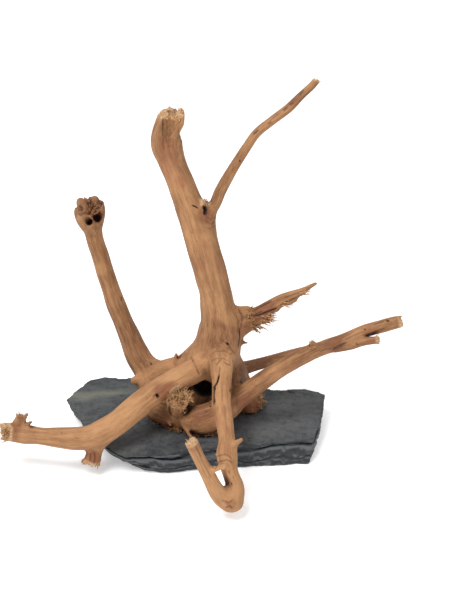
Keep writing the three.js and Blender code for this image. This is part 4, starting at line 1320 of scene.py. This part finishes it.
HOLE_WALL = ((15.0, 2.4), (12.0, 2.4), (8.0, 2.4), (3.8, 2.4), (3.4, 4.4), (1.0, 4.4), (0.0, 4.6))  # height, radius


def round_outline(points, shares):
    """Places at these shares of the way round a closed outline."""
    ring = np.array([*points, points[0]], float)
    return np.stack([np.interp(shares * len(points), np.arange(len(ring)), ring[:, n]) for n in (0, 1)], 1)


lengths = np.linalg.norm(np.diff(np.array([*SLATE_TOP, SLATE_TOP[0]]), axis=0), axis=1)
share_at = np.concatenate(((0,), np.cumsum(lengths))) / lengths.sum()
shares = np.interp(np.arange(COLUMNS) / COLUMNS, share_at, np.arange(len(share_at)) / (len(share_at) - 1))
top_line, foot_line = round_outline(SLATE_TOP, shares), round_outline(SLATE_FOOT, shares)
run = np.arange(COLUMNS) / COLUMNS * 2 * math.pi
loop = np.stack((np.cos(run), np.sin(run)), 1) * lengths.sum() / (2 * math.pi)  # goes round without a jump
heading = np.roll(top_line, -6, 0) - np.roll(top_line, 6, 0)
outward = np.stack((heading[:, 1], -heading[:, 0]), 1) / np.linalg.norm(heading, axis=1)[:, None]
print("slate edge %.0f mm round" % lengths.sum())


# %% [markdown]
# The top has the low steps that a cleft face shows, a few tenths of a millimetre high, and flakes are
# missing along its rim. Under the root it is nearly flat, so that the root stands on it.

# %% Make the slab


def flat_noise(places, size, seed, octaves):
    """Noise over places on a plane, this many millimetres wide."""
    return noise(np.column_stack((places / size, np.zeros(len(places)))), seed, octaves)


def cleft(points):
    """How far the split face lies below the flat, in millimetres."""
    flat = np.column_stack((points, np.zeros(len(points))))
    slope = noise(flat / (46, 30, 1) + 3.1, 41, 3) * 2.6  # in steps
    step = np.floor(slope) + ramp(slope - np.floor(slope), 0.9, 1.0)
    return np.clip(0.5 + 0.17 * step + 0.1 * noise(flat / (7, 5, 1), 42, 2), 0, 1.2)


def top_rings():
    """Rings from the top of the hole to the rim."""
    start = HOLE_AT + from_hole * HOLE_WALL[0][1]
    flats = [start + (rim_line - start) * share for share in np.linspace(0, TOP_SHARE, TOP_RINGS)]
    flats += [rim_line - outward * inset for inset in RIM_INSETS]
    made = []
    for flat in flats:
        from_rim = np.linalg.norm(flat - rim_line, axis=1)
        flake = ramp(flat_noise(flat, (13, 9), 43, 2), 0.15, 0.3) * ramp(from_rim, 9, 1)
        under_root = ramp(np.linalg.norm((flat - ROOT_MIDDLE) / ROOT_SPREAD, axis=1), 1.15, 0.95)
        drop = cleft(flat) * (1 - 0.8 * under_root) + flake * FLAKE_DEPTH
        made.append(np.column_stack((flat, SLATE_THICK - drop)))
    return made


def edge_rings(rim_height):
    """Rings down the broken edge, and how far out each of their points stands."""
    levels = [np.full(COLUMNS, level) for level in BED_LEVELS]
    levels[1] = levels[1] + 1.3 * flat_noise(loop, 19, 56, 2)
    levels[2] = levels[2] + 2.4 * flat_noise(loop, 15, 57, 2)
    depth = ramp(flat_noise(loop, 16, 58, 2), -0.55, 0.25) * CREVICE_DEPTH
    made, outs = [], []
    for row, (bed, out, crevice, rough) in enumerate(BEDS):
        whole = min(int(bed), 2)
        height = levels[whole] + (levels[whole + 1] - levels[whole]) * (bed - whole)
        line = top_line + (foot_line - top_line) * (1 - height / SLATE_THICK)[:, None]
        wander = noise(np.column_stack((loop / 11, height / 9 + whole * 5.1)), 52, 2)
        chips = noise(np.column_stack((loop / 3.4, height / 2.2)), 53, 3)
        chips = np.floor(chips * 2.5) / 2.5 * 0.7 + chips * 0.3  # partly in steps
        opening = crevice * depth * (SECOND_CREVICE if bed > 1.5 else 1.0)
        offset = out - opening + rough * (0.8 * wander + 0.55 * chips)
        if row == 0:
            offset, height = rim_out, rim_height
        height = np.minimum(height, rim_height - 0.05 * row)
        made.append(np.column_stack((line + outward * offset[:, None], np.maximum(height, 0))))
        outs.append(offset)
    return made, outs


def under_rings(foot):
    """Rings back along the underside, which has shallow hollows, and up the wall of the hole."""
    start = HOLE_AT + from_hole * HOLE_WALL[-1][1]
    made = []
    for share in np.linspace(FOOT_SHARE, 0, FOOT_RINGS):
        flat = start + (foot - start) * share
        hollow_below = 0.5 * ramp(flat_noise(flat, (30, 22), 55, 3), 0.0, 0.6) * (share > 0.2)
        made.append(np.column_stack((flat, hollow_below)))
    for height, radius in HOLE_WALL[-2:0:-1]:
        made.append(np.column_stack((HOLE_AT + from_hole * radius, np.full(COLUMNS, height))))
    return made


from_hole = (top_line - HOLE_AT) / np.linalg.norm(top_line - HOLE_AT, axis=1)[:, None]
rim_out = BEDS[0][1] + flat_noise(loop, 3.2, 51, 3) * 0.8 * BEDS[0][3]
rim_line = top_line + outward * rim_out[:, None]
top = top_rings()
edge, outs = edge_rings(top[-1][:, 2])
rings = np.array(top + edge + under_rings(edge[-1][:, :2]))
rows = len(rings)
crest = np.zeros((rows, COLUMNS))  # how far each point of the edge stands proud of those above and below it
for row, out in enumerate(outs):
    crest[len(top) + row] = out - (outs[max(row - 2, 0)] + outs[min(row + 2, len(outs) - 1)]) / 2
number = np.arange(rows * COLUMNS).reshape(rows, COLUMNS)
below, beside = np.roll(number, -1, 0), np.roll(number, -1, 1)
slab_quads = np.stack((number, below, np.roll(below, -1, 1), beside), -1).reshape(-1, 4)

# %% [markdown]
# ## The finish of the slate
# Slate is fine-grained and blue-black, with a dull sheen on its split faces. Grey and olive bands cross it
# where the mud that it was made of changed. Edges that have been knocked are paler, and scratches are nearly
# white. The broken sides are darker than the top, partly as painted shade, and the crevices between beds are
# painted nearly black, as painted shade. The fine bump is the cleavage grain, about a millimetre wide.

# %% Cleft slate
CLOUD_MM, MOTTLE_MM, GRIT_MM = 30, 4, 0.9
BAND_TURN, BAND_SHIFT = math.radians(-12), (0.035, -0.0325, 0)  # the olive band's run and place, in metres
SCRATCHES_PER_METRE = (260.0, 900.0, 700.0)
slate, tree, shader = blank_material("cleft_slate")
place_on = put(tree, "ShaderNodeTexCoord").outputs["Object"]
clouds = cloudy(tree, place_on, 1 / (CLOUD_MM * MM), 6.0, 0.6)
mottle = cloudy(tree, place_on, 1 / (MOTTLE_MM * MM), 5.0, 0.65)
grit = cloudy(tree, place_on, 1 / (GRIT_MM * MM), 3.0, 0.6)
banded = {"Vector": place_on, "Rotation": (0, 0, BAND_TURN), "Location": BAND_SHIFT}
banded = put(tree, "ShaderNodeMapping", banded).outputs[0]
stone = mixed(tree, between(tree, clouds, 0.35, 0.65), "2C3036", "4A4D4E")
stone = mixed(tree, between(tree, mottle, 0.42, 0.72, 0.0, 0.5), stone, "62635F")
stone = mixed(tree, between(tree, mottle, 0.46, 0.3, 0.0, 0.6), stone, "1F2226")
along_x, along_y = (put(tree, "ShaderNodeSeparateXYZ", {0: banded}).outputs[axis] for axis in ("X", "Y"))
wavy = maths(tree, "ADD", along_y, between(tree, clouds, 0.3, 0.7, -5 * MM, 5 * MM))
band = between(tree, maths(tree, "ABSOLUTE", wavy), 6 * MM, 1 * MM)
olive = maths(tree, "MULTIPLY", band, between(tree, along_x, 12 * MM, -20 * MM))
stone = mixed(tree, maths(tree, "MULTIPLY", olive, 0.55), stone, "7C7B6C")
# The broken sides are darker than the top: partly darker broken stone, partly painted shade.
stone = mixed(tree, between(tree, held(tree, "edge"), 0.0, 1.0, 0.0, 0.72), stone, "1B1E23")
streaky = {"Vector": place_on, "Scale": SCRATCHES_PER_METRE, "Rotation": (0, 0, 0.5)}
flecks = cloudy(tree, put(tree, "ShaderNodeMapping", streaky).outputs[0], 1.0, 3.0, 0.7)
patchy = between(tree, clouds, 0.5, 0.62, 0.2, 1.0)
scratched = maths(tree, "MULTIPLY", between(tree, flecks, 0.68, 0.74, 0.0, 0.75), patchy)
stone = mixed(tree, scratched, stone, "B9BAB6")
stone = mixed(tree, between(tree, held(tree, "crest"), 0.15, 0.7, 0.0, 0.5), stone, "6C7072")
# Recessed beds of the edge are painted nearly black: painted shade in the crevices.
stone = mixed(tree, between(tree, held(tree, "crest"), -0.2, -1.2, 0.0, 0.9), stone, "0D0F12")
tree.links.new(stone, shader.inputs["Base Color"])
shader.inputs["Roughness"].default_value = 0.62
shader.inputs["Specular IOR Level"].default_value = 0.4
rise = raised(tree, grit, 0.5, 0.35)
rise = raised(tree, mottle, 0.6, 1.2, rise)
tree.links.new(rise, shader.inputs["Normal"])

slab = piece("slate_slab", rings.reshape(-1, 3), slab_quads, slate)
keep(slab.data, "crest", crest.ravel())
# The sides below the rim are painted darker, partly as painted shade.
broken_edge_and_shade = np.zeros((rows, COLUMNS))  # 1 below the top's rim, where the stone is darker
broken_edge_and_shade[len(top) + 1 :] = 1.0
keep(slab.data, "edge", broken_edge_and_shade.ravel())
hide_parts("slate_base")
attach(slab, BODY)
print("the slab has", len(slab_quads) * 2, "triangles")

# %% [markdown]
# ## The screw
# A countersunk screw comes up through the stone into the root. Its solid already has the right shape, so it
# stays, and gets a finish: turned stainless steel, with fine rings round its axis from the lathe.

# %% Stainless steel for the screw
LATHE_MM = 0.3
steel, tree, shader = blank_material("turned_stainless_steel")
place_on = put(tree, "ShaderNodeTexCoord").outputs["Object"]
rings_at = put(tree, "ShaderNodeMapping", {"Vector": place_on, "Scale": (40.0, 40.0, 1 / (LATHE_MM * MM))}).outputs[0]
turned = cloudy(tree, rings_at, 1.0, 2.0)
tree.links.new(mixed(tree, between(tree, turned, 0.3, 0.7), "9C9A96", "C9C7C2"), shader.inputs["Base Color"])
tree.links.new(between(tree, turned, 0.3, 0.7, 0.24, 0.4), shader.inputs["Roughness"])
shader.inputs["Metallic"].default_value = 1.0
tree.links.new(raised(tree, turned, 0.3, 0.1), shader.inputs["Normal"])
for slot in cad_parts["fixing_screw"].material_slots:
    slot.material = steel
